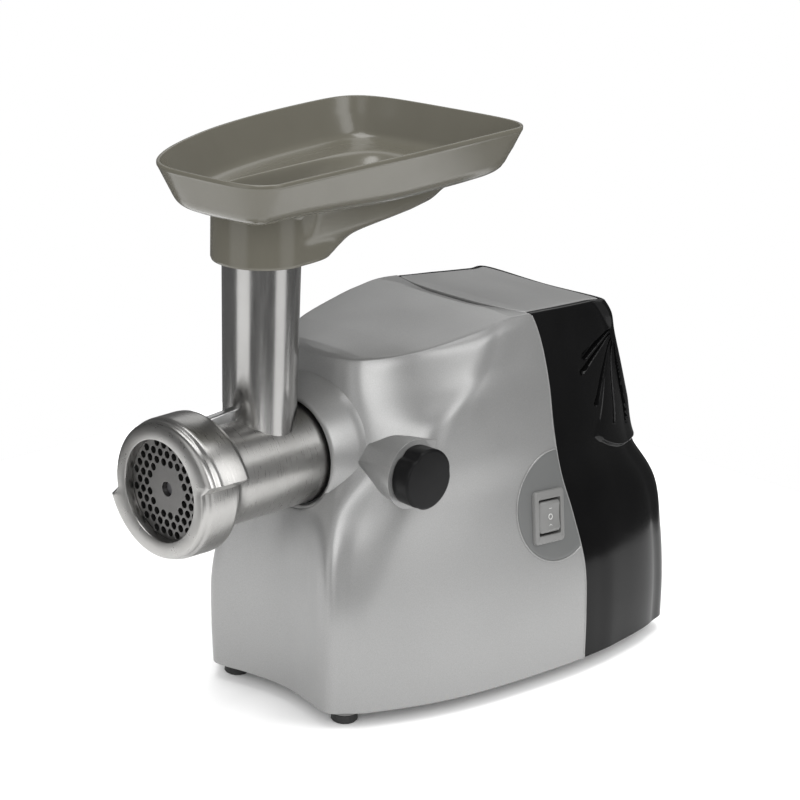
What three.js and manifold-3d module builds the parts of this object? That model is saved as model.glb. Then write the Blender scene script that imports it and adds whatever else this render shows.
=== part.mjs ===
// Electric meat grinder, millimetres, +Z up.
// Most pieces are drawn in the drive frame: origin on the barrel axis at the front face of the ring
// nut, +X to the switch side, +Y to the rear, +Z up. The group "machine" carries that frame.
import * as THREE from "three";
import { mergeVertices } from "three/addons/utils/BufferGeometryUtils.js";
import { ConvexGeometry } from "three/addons/geometries/ConvexGeometry.js";
import Module from "manifold-3d";

const wasm = await Module();
wasm.setup();

// ---------------------------------------------------------------- driving dimensions
const OVERALL_LENGTH = 338; // ring nut face to the cord gland at the rear
const AXIS_HEIGHT = 145.5; // barrel axis above the table
const SKIN = 2.8; // wall of the plastic housing
const SEAM = 0.5; // visible gap between housing pieces
const FIT = 0.3; // running or assembly clearance
const TOLERANCE = 0.01; // surface tolerance kept when a cut body is simplified

const BODY_BOTTOM = -136.3;
const PLATE_RADIUS = 30.8; // size 8 cutting plate, 62 mm class
const NUT_OPENING = 27.5;
const NUT_LENGTH = 24;
const NUT_BORE = 34.7;
const BARREL_RADIUS = 28.5;
const BARREL_BORE = 25.6;
const BARREL_END = 126;
const MOUTH_BORE = 31.3;
const THREAD_RADIUS = 34.3;

const TUBE_Y = 71; // feed tube axis behind the ring nut face
const TUBE_BOTTOM_RADIUS = 20;
const TUBE_TOP_RADIUS = 21.3;
const TUBE_BORE = 17.8;
const TUBE_TOP = 128;

const TRAY_TURN = THREE.MathUtils.degToRad(6);
const TRAY_RIM = 172.5;
const TRAY_DEPTH = 26;
const TRAY_WALL = 2.6;
const NECK_RADIUS = 27.1;
const NECK_BOTTOM = 114.3;

const SOCKET_BORE = 29.1;
const SOCKET_OUTER = 31.3;
const SOCKET_FRONT = 96.5;
const SOCKET_REAR = 134;

const LOCK_Y = 120;
const KNOB_RADIUS = 17;
const KNOB_FACE = 81;
const POD_FACE = 69;
const POD_RADIUS = 19.6;

const OUTPUT_TEETH = 36;
const OUTPUT_PINION_TEETH = 12;
const OUTPUT_MODULE = 2;
const WHEEL_TEETH = 60;
const MOTOR_PINION_TEETH = 12;
const WHEEL_MODULE = 1.25;
const LAYSHAFT_X = 20;
const STAGE_TWO = (OUTPUT_MODULE * (OUTPUT_TEETH + OUTPUT_PINION_TEETH)) / 2;
const STAGE_ONE = (WHEEL_MODULE * (WHEEL_TEETH + MOTOR_PINION_TEETH)) / 2;
const LAYSHAFT_Z = -Math.sqrt(STAGE_TWO ** 2 - LAYSHAFT_X ** 2);
const MOTOR_Z = LAYSHAFT_Z - Math.sqrt(STAGE_ONE ** 2 - LAYSHAFT_X ** 2);
const BACKLASH = 0.34;

const SWITCH_CENTRE = [78.4, 220.6, -46.3];
const SWITCH_TILT = -0.17;
const SWITCH_LEAN = -0.085;
const PANEL_CENTRE = [228.4, -41.6]; // y and z of the round switch panel
const PANEL_RADIUS = 31.1;

const FRONT_FOOT = [44.2, 96.6];
const REAR_FOOT = [66, 310];
const FOOT_RADIUS = 7.5;
const FOOT_CUP = 4; // depth of the round cup that holds a foot under the base plate

// ---------------------------------------------------------------- materials
const paint = (name, color, metalness, roughness) => {
  const material = new THREE.MeshStandardMaterial({ color, metalness, roughness });
  material.name = name;
  return material;
};
const SILVER = paint("silver_paint", 0xb9bab9, 0.6, 0.38);
const BLACK_GLOSS = paint("black_gloss", 0x131314, 0, 0.12);
const BLACK_PLASTIC = paint("black_plastic", 0x1b1b1c, 0, 0.45);
const TRAY_PLASTIC = paint("tray_plastic", 0x79766a, 0, 0.42);
const CAST_ALUMINIUM = paint("cast_aluminium", 0xb4b6b8, 1, 0.25);
const PLATE_STEEL = paint("plate_steel", 0x8d8f90, 1, 0.35);
const GREY_PANEL = paint("grey_panel", 0x8b8f92, 0, 0.45);
const LIGHT_PLASTIC = paint("light_plastic", 0xc3c5c4, 0, 0.4);
const RUBBER = paint("rubber", 0x161616, 0, 0.85);
const GEAR_NYLON = paint("gear_nylon", 0xd9d4c4, 0, 0.5);
const STEEL = paint("steel", 0x9ea1a3, 1, 0.3);
const IRON = paint("laminated_iron", 0x6d6f72, 0.9, 0.5);
const COPPER = paint("enamelled_copper", 0xa5562a, 0.8, 0.35);
const CARBON = paint("carbon", 0x2a2a2a, 0.2, 0.7);
const GEARBOX_PLASTIC = paint("gearbox_plastic", 0x3a3d40, 0, 0.5);

// ---------------------------------------------------------------- solid helpers
const vec = (x, y, z) => new THREE.Vector3(x, y, z);
const lerp = THREE.MathUtils.lerp;

function indexed(points, faces) {
  const geometry = new THREE.BufferGeometry();
  const flat = points.flatMap((p) => [p.x, p.y, p.z]);
  geometry.setAttribute("position", new THREE.Float32BufferAttribute(flat, 3));
  geometry.setIndex(faces.flat());
  return geometry;
}

function welded(geometry) {
  const bare = geometry.clone();
  bare.deleteAttribute("normal");
  bare.deleteAttribute("uv");
  const merged = mergeVertices(bare, 1e-4);
  const source = merged.index.array;
  const kept = [];
  for (let i = 0; i < source.length; i += 3) {
    const [a, b, c] = [source[i], source[i + 1], source[i + 2]];
    if (a !== b && b !== c && c !== a) {
      kept.push(a, b, c);
    }
  }
  merged.setIndex(kept);
  return merged;
}

function solid(geometry) {
  const merged = welded(geometry);
  const mesh = new wasm.Mesh({
    numProp: 3,
    vertProperties: new Float32Array(merged.attributes.position.array),
    triVerts: new Uint32Array(merged.index.array),
  });
  return new wasm.Manifold(mesh);
}

function geometryOf(body) {
  const mesh = body.getMesh();
  const geometry = new THREE.BufferGeometry();
  const positions = new THREE.Float32BufferAttribute(Array.from(mesh.vertProperties), 3);
  geometry.setAttribute("position", positions);
  geometry.setIndex(Array.from(mesh.triVerts));
  return geometry;
}

function flat(geometry) {
  const out = geometry.index ? geometry.toNonIndexed() : geometry;
  out.computeVertexNormals();
  return out;
}

// Closed body of revolution about Y. The profile lists [radius, y] with the material on its left,
// and either closes on itself or starts and ends on the axis.
function revolve(profile, segments = 28) {
  const points = [];
  const faces = [];
  const onAxis = profile[0][0] === 0;
  const count = profile.length;
  for (let s = 0; s < segments; s += 1) {
    const angle = (s / segments) * Math.PI * 2;
    for (const [radius, y] of profile) {
      points.push(vec(radius * Math.cos(angle), y, radius * Math.sin(angle)));
    }
  }
  const spans = onAxis ? count - 1 : count;
  for (let s = 0; s < segments; s += 1) {
    const here = s * count;
    const next = ((s + 1) % segments) * count;
    for (let k = 0; k < spans; k += 1) {
      const k2 = (k + 1) % count;
      faces.push([here + k, here + k2, next + k2]);
      faces.push([here + k, next + k2, next + k]);
    }
  }
  return indexed(points, faces);
}

const tube = (inner, outer, y0, y1, segments) =>
  revolve(
    [
      [inner, y0],
      [inner, y1],
      [outer, y1],
      [outer, y0],
    ].reverse(),
    segments,
  );

const rod = (radius, y0, y1, segments) =>
  revolve(
    [
      [0, y0],
      [radius, y0],
      [radius, y1],
      [0, y1],
    ],
    segments,
  );

const AXES = {
  // depth runs along the named axis, the drawing plane keeps a right-handed order
  x: new THREE.Matrix4().makeBasis(vec(0, 1, 0), vec(0, 0, 1), vec(1, 0, 0)),
  y: new THREE.Matrix4().makeBasis(vec(1, 0, 0), vec(0, 0, 1), vec(0, -1, 0)),
  z: new THREE.Matrix4(),
};

// Prism of a 2D outline: (y, z) for axis x, (x, z) for axis y, (x, y) for axis z.
function prism(outline, low, high, axis, holes = []) {
  const shape = new THREE.Shape(outline.map(([u, v]) => new THREE.Vector2(u, v)));
  for (const hole of holes) {
    shape.holes.push(new THREE.Path(hole.map(([u, v]) => new THREE.Vector2(u, v))));
  }
  const options = { depth: high - low, bevelEnabled: false, curveSegments: 1 };
  const geometry = new THREE.ExtrudeGeometry(shape, options);
  geometry.applyMatrix4(AXES[axis]);
  const shift = { x: [low, 0, 0], y: [0, high, 0], z: [0, 0, low] }[axis];
  geometry.translate(...shift);
  return geometry;
}

const box = (x0, x1, y0, y1, z0, z1) => {
  const geometry = new THREE.BoxGeometry(x1 - x0, y1 - y0, z1 - z0);
  geometry.translate((x0 + x1) / 2, (y0 + y1) / 2, (z0 + z1) / 2);
  return geometry;
};

const ring = (radius, segments, u = 0, v = 0, start = 0) =>
  Array.from({ length: segments }, (_, i) => {
    const angle = start + (i / segments) * Math.PI * 2;
    return [u + radius * Math.cos(angle), v + radius * Math.sin(angle)];
  });

const alongX = (geometry) => geometry.rotateZ(-Math.PI / 2);
const alongZ = (geometry) => geometry.rotateX(Math.PI / 2);

// Stack of outlines with equal point counts, capped by fans at both ends.
function loft(rings) {
  const count = rings[0].length;
  const points = rings.flat();
  const faces = [];
  for (let r = 0; r + 1 < rings.length; r += 1) {
    for (let i = 0; i < count; i += 1) {
      const j = (i + 1) % count;
      const a = r * count + i;
      const b = r * count + j;
      faces.push([a, b, b + count]);
      faces.push([a, b + count, a + count]);
    }
  }
  const centre = (list) =>
    list.reduce((sum, p) => sum.add(p), vec(0, 0, 0)).multiplyScalar(1 / count);
  const low = points.push(centre(rings[0])) - 1;
  const high = points.push(centre(rings[rings.length - 1])) - 1;
  const last = (rings.length - 1) * count;
  for (let i = 0; i < count; i += 1) {
    const j = (i + 1) % count;
    faces.push([low, j, i]);
    faces.push([high, last + i, last + j]);
  }
  return indexed(points, faces);
}

function hull2d(points) {
  const sorted = [...points].sort((a, b) => a[0] - b[0] || a[1] - b[1]);
  const turn = (o, a, b) => (a[0] - o[0]) * (b[1] - o[1]) - (a[1] - o[1]) * (b[0] - o[0]);
  const half = (list) => {
    const out = [];
    for (const p of list) {
      while (out.length > 1 && turn(out[out.length - 2], out[out.length - 1], p) <= 1e-9) {
        out.pop();
      }
      out.push(p);
    }
    out.pop();
    return out;
  };
  return [...half(sorted), ...half(sorted.reverse())];
}

// Uniform Catmull-Rom value through four neighbours.
function cubic(a, b, c, d, t) {
  const t2 = t * t;
  const t3 = t2 * t;
  return 0.5 * (2 * b + (c - a) * t + (2 * a - 5 * b + 4 * c - d) * t2 + (3 * b - 3 * c + d - a) * t3);
}

const blend = (a, b, c, d, t) =>
  vec(cubic(a.x, b.x, c.x, d.x, t), cubic(a.y, b.y, c.y, d.y, t), cubic(a.z, b.z, c.z, d.z, t));

// ---------------------------------------------------------------- housing skin
// Ribs of the half housing, front centre to rear centre. Each row is one level from the bottom
// edge to the top edge; each entry is [x, y] on a level row or [x, y, z] on a climbing row.
const LEVELS = [
  [-136.3, [0, 88], [24, 85], [45.5, 81], [54, 89], [62, 100], [77.2, 138], [86, 182], [91.2, 245],
    [88.9, 280], [82.8, 315], [68.6, 335], [0, 336]],
  [-110, [0, 88], [24, 84.5], [46, 79.5], [54, 88], [62, 101.5], [76.5, 138], [85.5, 184], [90, 246],
    [88.4, 281], [82.8, 315], [68.4, 334.6], [0, 336]],
  [-80, [0, 88.5], [24, 85], [46, 79.5], [54, 89], [62, 105], [74.5, 140], [82, 186], [86.4, 247],
    [85.8, 281], [81, 313.5], [66.5, 333], [0, 336]],
  [-50, [0, 91], [22, 87.5], [42, 83], [51, 94], [63, 113], [71.5, 142], [77.5, 188], [80, 242],
    [79.6, 281], [75.4, 311.6], [60.5, 332.5], [0, 335.5]],
  [-25, [0, 96], [20, 92.5], [38, 91], [50, 103], [65, 120], [71, 146], [74, 190], [74.4, 236],
    [70, 278], [62, 304.5], [47, 325.5], [0, 331]],
  [0, [0, 102], [22, 102], [41, 106], [54, 115], [68, 130], [71.5, 150], [72, 192], [70, 233],
    [66, 276], [57.4, 302.6], [45.4, 320.6], [0, 326]],
  [25, [0, 106, 24], [20, 107, 24], [37, 112, 24], [53, 126, 23], [68, 147, 24], [69, 166, 27],
    [67.5, 200, 28], [65, 233, 25], [60, 274, 23], [54.2, 299.2, 22], [45.4, 314.6, 22], [0, 319, 22]],
  [42, [0, 109, 42], [18, 111, 42], [33, 117, 42], [49, 138, 42], [63, 174, 42], [62, 190, 44],
    [61, 210, 46], [60, 232, 45], [55, 272, 42], [52, 295, 41], [46.4, 307.2, 41], [0, 312, 41]],
  [55, [0, 110.5, 49.5], [17, 113, 50], [31, 119.5, 51], [47, 142, 54], [58, 184, 58.5],
    [57.5, 199, 60], [57, 213, 60.5], [56, 230, 58.5], [52, 270, 56], [50.8, 289.5, 54], [48.2, 302.2, 53],
    [0, 307.2, 53]],
  [60, [0, 112, 53], [17, 115, 54], [30, 121, 55], [45, 143, 58], [52, 180, 63], [53, 198, 65.5],
    [53, 211, 67], [53, 228, 66], [49.5, 266, 62.5], [47.7, 284, 61], [45.4, 298.6, 60],
    [0, 300, 58.2]],
];
const RIBS = LEVELS.map(([level, ...row]) => row.map(([x, y, z = level]) => vec(x, y, z)));
const RIB_COUNT = RIBS[0].length;
const CROWN = 0.045; // rise of the top leaf at the middle per millimetre of half width

const mirrored = (p) => vec(-p.x, p.y, p.z);

function ribPoint(row, column) {
  const points = RIBS[row];
  if (column < 0) {
    return mirrored(points[-column]);
  }
  if (column >= RIB_COUNT) {
    return mirrored(points[2 * (RIB_COUNT - 1) - column]);
  }
  return points[column];
}

function levelPoint(row, across) {
  const column = Math.min(Math.floor(across), RIB_COUNT - 2);
  const t = across - column;
  const four = [-1, 0, 1, 2].map((k) => ribPoint(row, column + k));
  return blend(...four, t);
}

// Point of the half skin: across runs 0..11 from front to rear, up runs 0..9 from bottom to top.
function skinPoint(across, up) {
  const last = RIBS.length - 1;
  const row = Math.min(Math.floor(up), last - 1);
  const t = up - row;
  const rows = [-1, 0, 1, 2].map((k) => Math.min(Math.max(row + k, 0), last));
  const point = blend(...rows.map((r) => levelPoint(r, across)), t);
  if (across === 0 || across === RIB_COUNT - 1) {
    point.x = 0;
  }
  return point;
}

// Closed outer form of the housing, moved inwards by inset; drop lengthens it below the bottom.
function housingForm(acrossSteps, upSteps, inset, drop) {
  const acrossCount = (RIB_COUNT - 1) * acrossSteps;
  const upCount = (RIBS.length - 1) * upSteps;
  const rings = [];
  const wrap = (list) => [...list, ...list.slice(1, -1).reverse().map(mirrored)];
  for (let j = 0; j <= upCount; j += 1) {
    const half = [];
    for (let i = 0; i <= acrossCount; i += 1) {
      half.push(skinPoint(i / acrossSteps, j / upSteps));
    }
    rings.push(wrap(half));
  }
  const edge = rings[rings.length - 1];
  for (const inwards of [0.4, 0.8, 1]) {
    rings.push(
      edge.map((p) => {
        const fade = THREE.MathUtils.clamp((290 - p.y) / 70, 0, 1);
        const rise = CROWN * fade * Math.abs(p.x) * (1 - (1 - inwards) ** 2);
        return vec(p.x * (1 - inwards), p.y, p.z + rise);
      }),
    );
  }
  const count = edge.length;
  const faces = [];
  for (let r = 0; r + 1 < rings.length; r += 1) {
    for (let i = 0; i < count; i += 1) {
      const j = (i + 1) % count;
      const a = r * count + i;
      const b = r * count + j;
      faces.push([a, b, b + count]);
      faces.push([a, b + count, a + count]);
    }
  }
  const open = welded(indexed(rings.flat(), faces));
  open.computeVertexNormals();
  const place = open.attributes.position;
  const normal = open.attributes.normal;
  const points = [];
  const rim = [];
  for (let i = 0; i < place.count; i += 1) {
    const p = vec(place.getX(i), place.getY(i), place.getZ(i));
    const n = vec(normal.getX(i), normal.getY(i), normal.getZ(i));
    const onRim = Math.abs(p.z - BODY_BOTTOM) < 0.01;
    if (onRim) {
      n.z = 0;
      n.normalize();
    }
    if (Math.abs(p.x) < 1e-4) {
      n.x = 0;
      n.normalize();
    }
    p.addScaledVector(n, -inset);
    points.push(p);
    if (onRim) {
      rim.push(i);
    }
  }
  const bottomFaces = [];
  for (let i = 0; i < open.index.count; i += 3) {
    bottomFaces.push([open.index.getX(i), open.index.getX(i + 1), open.index.getX(i + 2)]);
  }
  const order = rings[0].map((_, i) => rim[i]);
  const below = order.map((i) => {
    const p = points[i].clone();
    p.z -= drop;
    return points.push(p) - 1;
  });
  const middle = points.push(vec(0, 215, BODY_BOTTOM - drop)) - 1;
  for (let i = 0; i < order.length; i += 1) {
    const j = (i + 1) % order.length;
    bottomFaces.push([below[i], below[j], order[j]]);
    bottomFaces.push([below[i], order[j], order[i]]);
    bottomFaces.push([middle, below[j], below[i]]);
  }
  return indexed(points, bottomFaces);
}

// Parting line between silver front and black rear, [y, z] from below the base to above the top.
const PARTING = [
  [245, -150], [245, -136], [246.5, -110], [247, -80], [245, -60], [237.5, -35], [233.5, 0],
  [233, 25], [232, 50], [228.5, 65], [227, 80],
];

function partingPrism(front, shift) {
  const far = front ? 40 : 400;
  const line = PARTING.map(([y, z]) => [y + shift, z]);
  const outline = front
    ? [[far, 80], [far, -150], ...line]
    : [[far, -150], [far, 80], ...[...line].reverse()];
  return solid(prism(outline, -120, 120, "x"));
}

const outerForm = solid(housingForm(2, 1, 0, 0.01));
const innerForm = solid(housingForm(1, 1, SKIN, 8));
const wall = outerForm.subtract(innerForm);

// Rear top panel in plan: a tapering plate between the leaf and the rear edge.
const TOP_PANEL = [
  [-50, 231.5], [-30, 226], [0, 223], [30, 226], [50, 231.5], [47.4, 266], [43.6, 297.2],
  [-43.6, 297.2], [-47.4, 266],
];
const panelPrism = (grow, low) => {
  const outline = TOP_PANEL.map(([x, y]) => {
    const dx = Math.sign(x) * grow;
    const dy = y > 260 ? grow : -grow;
    return [x + dx, y + dy];
  });
  return solid(prism(outline, low, 75, "z"));
};

const switchFrame = new THREE.Matrix4()
  .makeRotationFromEuler(new THREE.Euler(SWITCH_LEAN, SWITCH_TILT, 0))
  .setPosition(...SWITCH_CENTRE);
const inSwitchFrame = (geometry) => geometry.applyMatrix4(switchFrame);

const lockBore = (radius, low, high, segments = 14) =>
  solid(alongX(rod(radius, low, high, segments)).translate(0, LOCK_Y, 0));

const screwPost = (x, y, wallX, wallY) => {
  const post = solid(alongZ(rod(5, 0, 16, 14)).translate(x, y, BODY_BOTTOM + 4.4));
  const dx = wallX - x;
  const dy = wallY - y;
  const length = Math.hypot(dx, dy);
  const web = new THREE.BoxGeometry(length, 2.4, 14);
  web.rotateZ(Math.atan2(dy, dx));
  web.translate((x + wallX) / 2, (y + wallY) / 2, BODY_BOTTOM + 4.4 + 7);
  return post.add(solid(web));
};
const screwHole = (x, y) => solid(alongZ(rod(2.2, 0, 40, 10)).translate(x, y, BODY_BOTTOM - 6));

// ---------------------------------------------------------------- front shell
const podTip = vec(36, 107, 3);
const podCorner = vec(POD_FACE - 0.5, 140, 15);
const podPoints = [podTip, podCorner, vec(50, 130, 16), vec(40, 112, 12)];
for (const [y, z] of ring(POD_RADIUS, 20, LOCK_Y, 0)) {
  podPoints.push(vec(POD_FACE, y, z));
  podPoints.push(vec(48, lerp(y, LOCK_Y + 3, 0.2), lerp(z, 0, 0.1)));
}
const pod = solid(new ConvexGeometry(podPoints));
const collar = solid(
  revolve(
    [
      [31.6, 95.6],
      [33.2, 95.6],
      [38, 101.5],
      [42.6, 109],
      [44, 114],
      [44, 119],
      [31.6, 119],
    ],
    30,
  ),
);
const collarBore = solid(rod(31.6, 60, 160, 30));

const panelDisc = (radius) => solid(prism(ring(radius, 26, ...PANEL_CENTRE), 60, 100, "x"));
const switchCut = solid(inSwitchFrame(box(-30, 6, -11.7, 11.7, -14.5, 14.5)));
const bezelCut = solid(inSwitchFrame(box(-0.5, 8, -12.9, 12.9, -15.6, 15.6)));

let front = wall.add(collar.add(pod).subtract(innerForm));
front = front.intersect(partingPrism(true, -SEAM / 2));
for (const side of [-1, 1]) {
  const post = screwPost(side * FRONT_FOOT[0], FRONT_FOOT[1], side * 46, 82);
  front = front.add(post.intersect(outerForm));
  front = front.subtract(screwHole(side * FRONT_FOOT[0], FRONT_FOOT[1]));
}
front = front.subtract(collarBore);
front = front.subtract(lockBore(8.4, 30, 90));
front = front.subtract(lockBore(KNOB_RADIUS + 0.6, POD_FACE, 95, 24));
const panelRecess = solid(housingForm(2, 1, -0.6, 0.01)).subtract(solid(housingForm(2, 1, 1.3, 0.01)));
front = front.subtract(panelRecess.intersect(panelDisc(PANEL_RADIUS + 0.4)));
front = front.subtract(switchCut).subtract(bezelCut);
front = front.subtract(panelPrism(SEAM, 50));

const panelSkin = outerForm.subtract(solid(housingForm(2, 1, 1, 0.01)));
let panel = panelSkin.intersect(panelDisc(PANEL_RADIUS));
panel = panel.intersect(partingPrism(true, -SEAM / 2 - 0.1));
panel = panel.subtract(switchCut).subtract(bezelCut);

// ---------------------------------------------------------------- rear cover and top panel
let rear = wall.intersect(partingPrism(false, SEAM / 2));
const topPanel = wall.intersect(panelPrism(0, 50)).intersect(
  outerForm.subtract(solid(housingForm(2, 1, 2.4, 0.01))),
);
rear = rear.subtract(panelPrism(SEAM, 50));
const SLIT_APEX = vec(47, 303, 42);
const SLIT_ENDS = [vec(61, 266, 24), vec(56, 286, 0), vec(50.5, 308, -17), vec(48, 323, -18)];
for (const side of [-1, 1]) {
  for (const end of SLIT_ENDS) {
    const run = end.clone().sub(SLIT_APEX);
    const start = SLIT_APEX.clone().addScaledVector(run, 0.35);
    const stop = end.clone();
    const middle = start.clone().add(stop).multiplyScalar(0.5);
    const slit = new THREE.BoxGeometry(18, 2.2, start.distanceTo(stop));
    const along = stop.clone().sub(start).normalize();
    const out = vec(1, 0.75, 0.1).addScaledVector(along, -vec(1, 0.75, 0.1).dot(along)).normalize();
    const width = along.clone().cross(out);
    slit.applyMatrix4(new THREE.Matrix4().makeBasis(out, width, along));
    slit.translate(middle.x, middle.y, middle.z);
    const cutter = solid(slit);
    rear = rear.subtract(side > 0 ? cutter : cutter.mirror([1, 0, 0]));
  }
  const post = screwPost(side * REAR_FOOT[0], REAR_FOOT[1], side * 81, 312);
  rear = rear.add(post.intersect(outerForm));
  rear = rear.subtract(screwHole(side * REAR_FOOT[0], REAR_FOOT[1]));
}
const GLAND = [0, -112]; // x and z of the cord gland
rear = rear.subtract(solid(rod(6.8, 320, 345, 16).translate(GLAND[0], 0, GLAND[1])));
rear = rear.subtract(solid(rod(10, 335.8, 345, 20).translate(GLAND[0], 0, GLAND[1])));

// ---------------------------------------------------------------- base plate, feet, screws
let base = solid(housingForm(1, 1, SKIN + 0.6, 0.01));
base = base.intersect(solid(box(-100, 100, 60, 350, BODY_BOTTOM, BODY_BOTTOM + 2.6)));
for (const side of [-1, 1]) {
  for (const [x, y] of [FRONT_FOOT, REAR_FOOT]) {
    const cup = alongZ(rod(FOOT_RADIUS - 0.3, 0, FOOT_CUP + 1, 16));
    base = base.add(solid(cup.translate(side * x, y, BODY_BOTTOM - FOOT_CUP)));
    base = base.subtract(screwHole(side * x, y));
  }
}
for (let slot = 0; slot < 6; slot += 1) {
  const y = 190 + slot * 12;
  base = base.subtract(solid(box(-26, 26, y, y + 4, BODY_BOTTOM - 5, BODY_BOTTOM + 5)));
}

const FLOOR = -AXIS_HEIGHT;
const FOOT_TOP = BODY_BOTTOM - FOOT_CUP - FIT;
const footProfile = [
  [2.4, FLOOR + 3.4], [4.4, FLOOR + 3.4], [4.4, FLOOR], [6.4, FLOOR], [FOOT_RADIUS, FLOOR + 1],
  [FOOT_RADIUS - 0.2, FOOT_TOP], [2.4, FOOT_TOP],
];
const screwProfile = [
  [0, FLOOR + 0.8], [3.9, FLOOR + 0.8], [3.9, FLOOR + 3.1], [1.9, FLOOR + 3.1],
  [1.9, BODY_BOTTOM + 14], [0, BODY_BOTTOM + 15],
];

// ---------------------------------------------------------------- grinding head
const RIB_WIDTH = 5;
let head = solid(
  revolve(
    [
      [0, 7.5],
      [THREAD_RADIUS, 7.5],
      [THREAD_RADIUS, 25],
      [31.5, 27],
      [29.4, 31],
      [BARREL_RADIUS, 36],
      [BARREL_RADIUS, BARREL_END],
      [0, BARREL_END],
    ],
    32,
  ),
);
const feedTube = solid(
  alongZ(
    revolve(
      [
        [0, 0],
        [26, 0],
        [26, 19],
        [22.5, 24],
        [TUBE_BOTTOM_RADIUS + 0.4, 30],
        [TUBE_BOTTOM_RADIUS, 36],
        [TUBE_TOP_RADIUS, TUBE_TOP],
        [0, TUBE_TOP],
      ],
      28,
    ),
  ).translate(0, TUBE_Y, 0),
);
const frontRib = solid(
  prism([[26, 20], [56, 20], [54, 34], [40, 31.5], [26, 31.5]], -RIB_WIDTH / 2, RIB_WIDTH / 2, "x"),
);
const rearRib = solid(
  prism([[86, 20], [95, 20], [95, 30], [89.5, 46], [86, 46]], -RIB_WIDTH / 2, RIB_WIDTH / 2, "x"),
);
head = head.add(feedTube).add(frontRib).add(rearRib);
head = head.subtract(solid(rod(MOUTH_BORE, 0, 22, 32)));
head = head.subtract(solid(rod(BARREL_BORE, 21, 116, 28)));
head = head.subtract(solid(rod(10.4, 100, 130, 20)));
head = head.subtract(solid(rod(24, 121, 130, 24)));
head = head.subtract(solid(alongZ(rod(TUBE_BORE, 0, 140, 24)).translate(0, TUBE_Y, 0)));
head = head.subtract(solid(box(20, 32, 115.6, 130, -4.4, 4.4)));
head = head.subtract(solid(alongZ(rod(1.7, 20, 40, 10)).translate(0, 10, 0)));

// Two spiral ramps round the nut end in wrench teeth half a turn apart.
const TOOTH_ANGLE = THREE.MathUtils.degToRad(17);
const NUT_RADIUS = 36.3;
const TOOTH_RISE = 7.4;
function nutRing(y, base, share, offset) {
  const out = [];
  for (let half = 0; half < 2; half += 1) {
    for (let i = 0; i < 18; i += 1) {
      const travel = i / 17;
      const angle = TOOTH_ANGLE - (half + 0.03 + 0.97 * travel) * Math.PI;
      const radius = base + share * TOOTH_RISE * travel ** 2.2 + offset;
      out.push(vec(radius * Math.cos(angle), y, radius * Math.sin(angle)));
    }
  }
  return out;
}
let nut = solid(
  loft([
    nutRing(0, 33.6, 0.55, 0),
    nutRing(1.2, 35.2, 0.75, 0),
    nutRing(5, NUT_RADIUS, 1, -0.3),
    nutRing(22.5, NUT_RADIUS, 1, 0),
    nutRing(NUT_LENGTH, NUT_RADIUS, 1, -1),
  ]),
);
nut = nut.subtract(solid(rod(NUT_OPENING, -5, 40, 32)));
nut = nut.subtract(solid(rod(NUT_BORE, 5.2, 40, 32)));

const HOLE_PITCH = 5.5;
const plateHoles = [];
for (let row = -6; row <= 6; row += 1) {
  for (let column = -6; column <= 6; column += 1) {
    const x = (column + (Math.abs(row) % 2) / 2) * HOLE_PITCH;
    const z = row * HOLE_PITCH * Math.sqrt(0.75);
    const reach = Math.hypot(x, z);
    if (reach > 12.2 && reach < 26.2) {
      plateHoles.push(ring(2.05, 6, x, z).reverse());
    }
  }
}
plateHoles.push(ring(4, 12).reverse());
const notch = Math.asin(1.9 / PLATE_RADIUS);
const plateOutline = [[1.9, 28.3], [-1.9, 28.3]];
for (let i = 0; i <= 28; i += 1) {
  const angle = Math.PI / 2 + notch + (i / 28) * (2 * Math.PI - 2 * notch);
  plateOutline.push([PLATE_RADIUS * Math.cos(angle), PLATE_RADIUS * Math.sin(angle)]);
}
const plate = prism(plateOutline, 5.5, 13.5, "y", plateHoles);

const bladeOutline = [];
for (let blade = 0; blade < 4; blade += 1) {
  const turn = (blade * Math.PI) / 2;
  for (const [radius, angle] of [[10, -0.5], [27, -0.16], [28, 0.06], [18, 0.24], [10, 0.45]]) {
    bladeOutline.push([radius * Math.cos(turn + angle), radius * Math.sin(turn + angle)]);
  }
}
const knifeSquare = [[-4.7, -4.7], [-4.7, 4.7], [4.7, 4.7], [4.7, -4.7]];
const knife = prism(bladeOutline, 13.9, 20.9, "y", [knifeSquare]);

// Screw flight: a swept band around the shaft, thinner at the tip than at the root.
function flight(y0, y1, turns, steps) {
  const points = [];
  const faces = [];
  for (let s = 0; s <= steps; s += 1) {
    const t = s / steps;
    const angle = t * turns * Math.PI * 2;
    const y = lerp(y0, y1, t);
    for (const [radius, dy] of [[8, -4], [24.7, -1.4], [24.7, 1.4], [8, 4]]) {
      points.push(vec(radius * Math.cos(angle), y + dy, radius * Math.sin(angle)));
    }
  }
  for (let s = 0; s < steps; s += 1) {
    for (let k = 0; k < 4; k += 1) {
      const a = s * 4 + k;
      const b = s * 4 + ((k + 1) % 4);
      faces.push([a, b, b + 4]);
      faces.push([a, b + 4, a + 4]);
    }
  }
  const end = steps * 4;
  faces.push([0, 2, 1], [0, 3, 2], [end, end + 1, end + 2], [end, end + 2, end + 3]);
  return indexed(points, faces);
}
const hexagon = (flats) => ring(flats / Math.sqrt(3), 6);
let auger = solid(
  revolve(
    [
      [0, 22],
      [8.5, 22],
      [10.5, 110],
      [14, 112.6],
      [10, 112.6],
      [10, 121.5],
      [0, 121.5],
    ],
    20,
  ),
);
auger = auger.add(solid(flight(26.4, 107, 2.75, 48)));
auger = auger.add(solid(prism([[-4.4, -4.4], [4.4, -4.4], [4.4, 4.4], [-4.4, 4.4]], 13.8, 23, "y")));
auger = auger.add(solid(rod(3.7, 8.6, 14, 14)));
auger = auger.add(solid(prism(hexagon(12.6), 121, 141, "y")));

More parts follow.
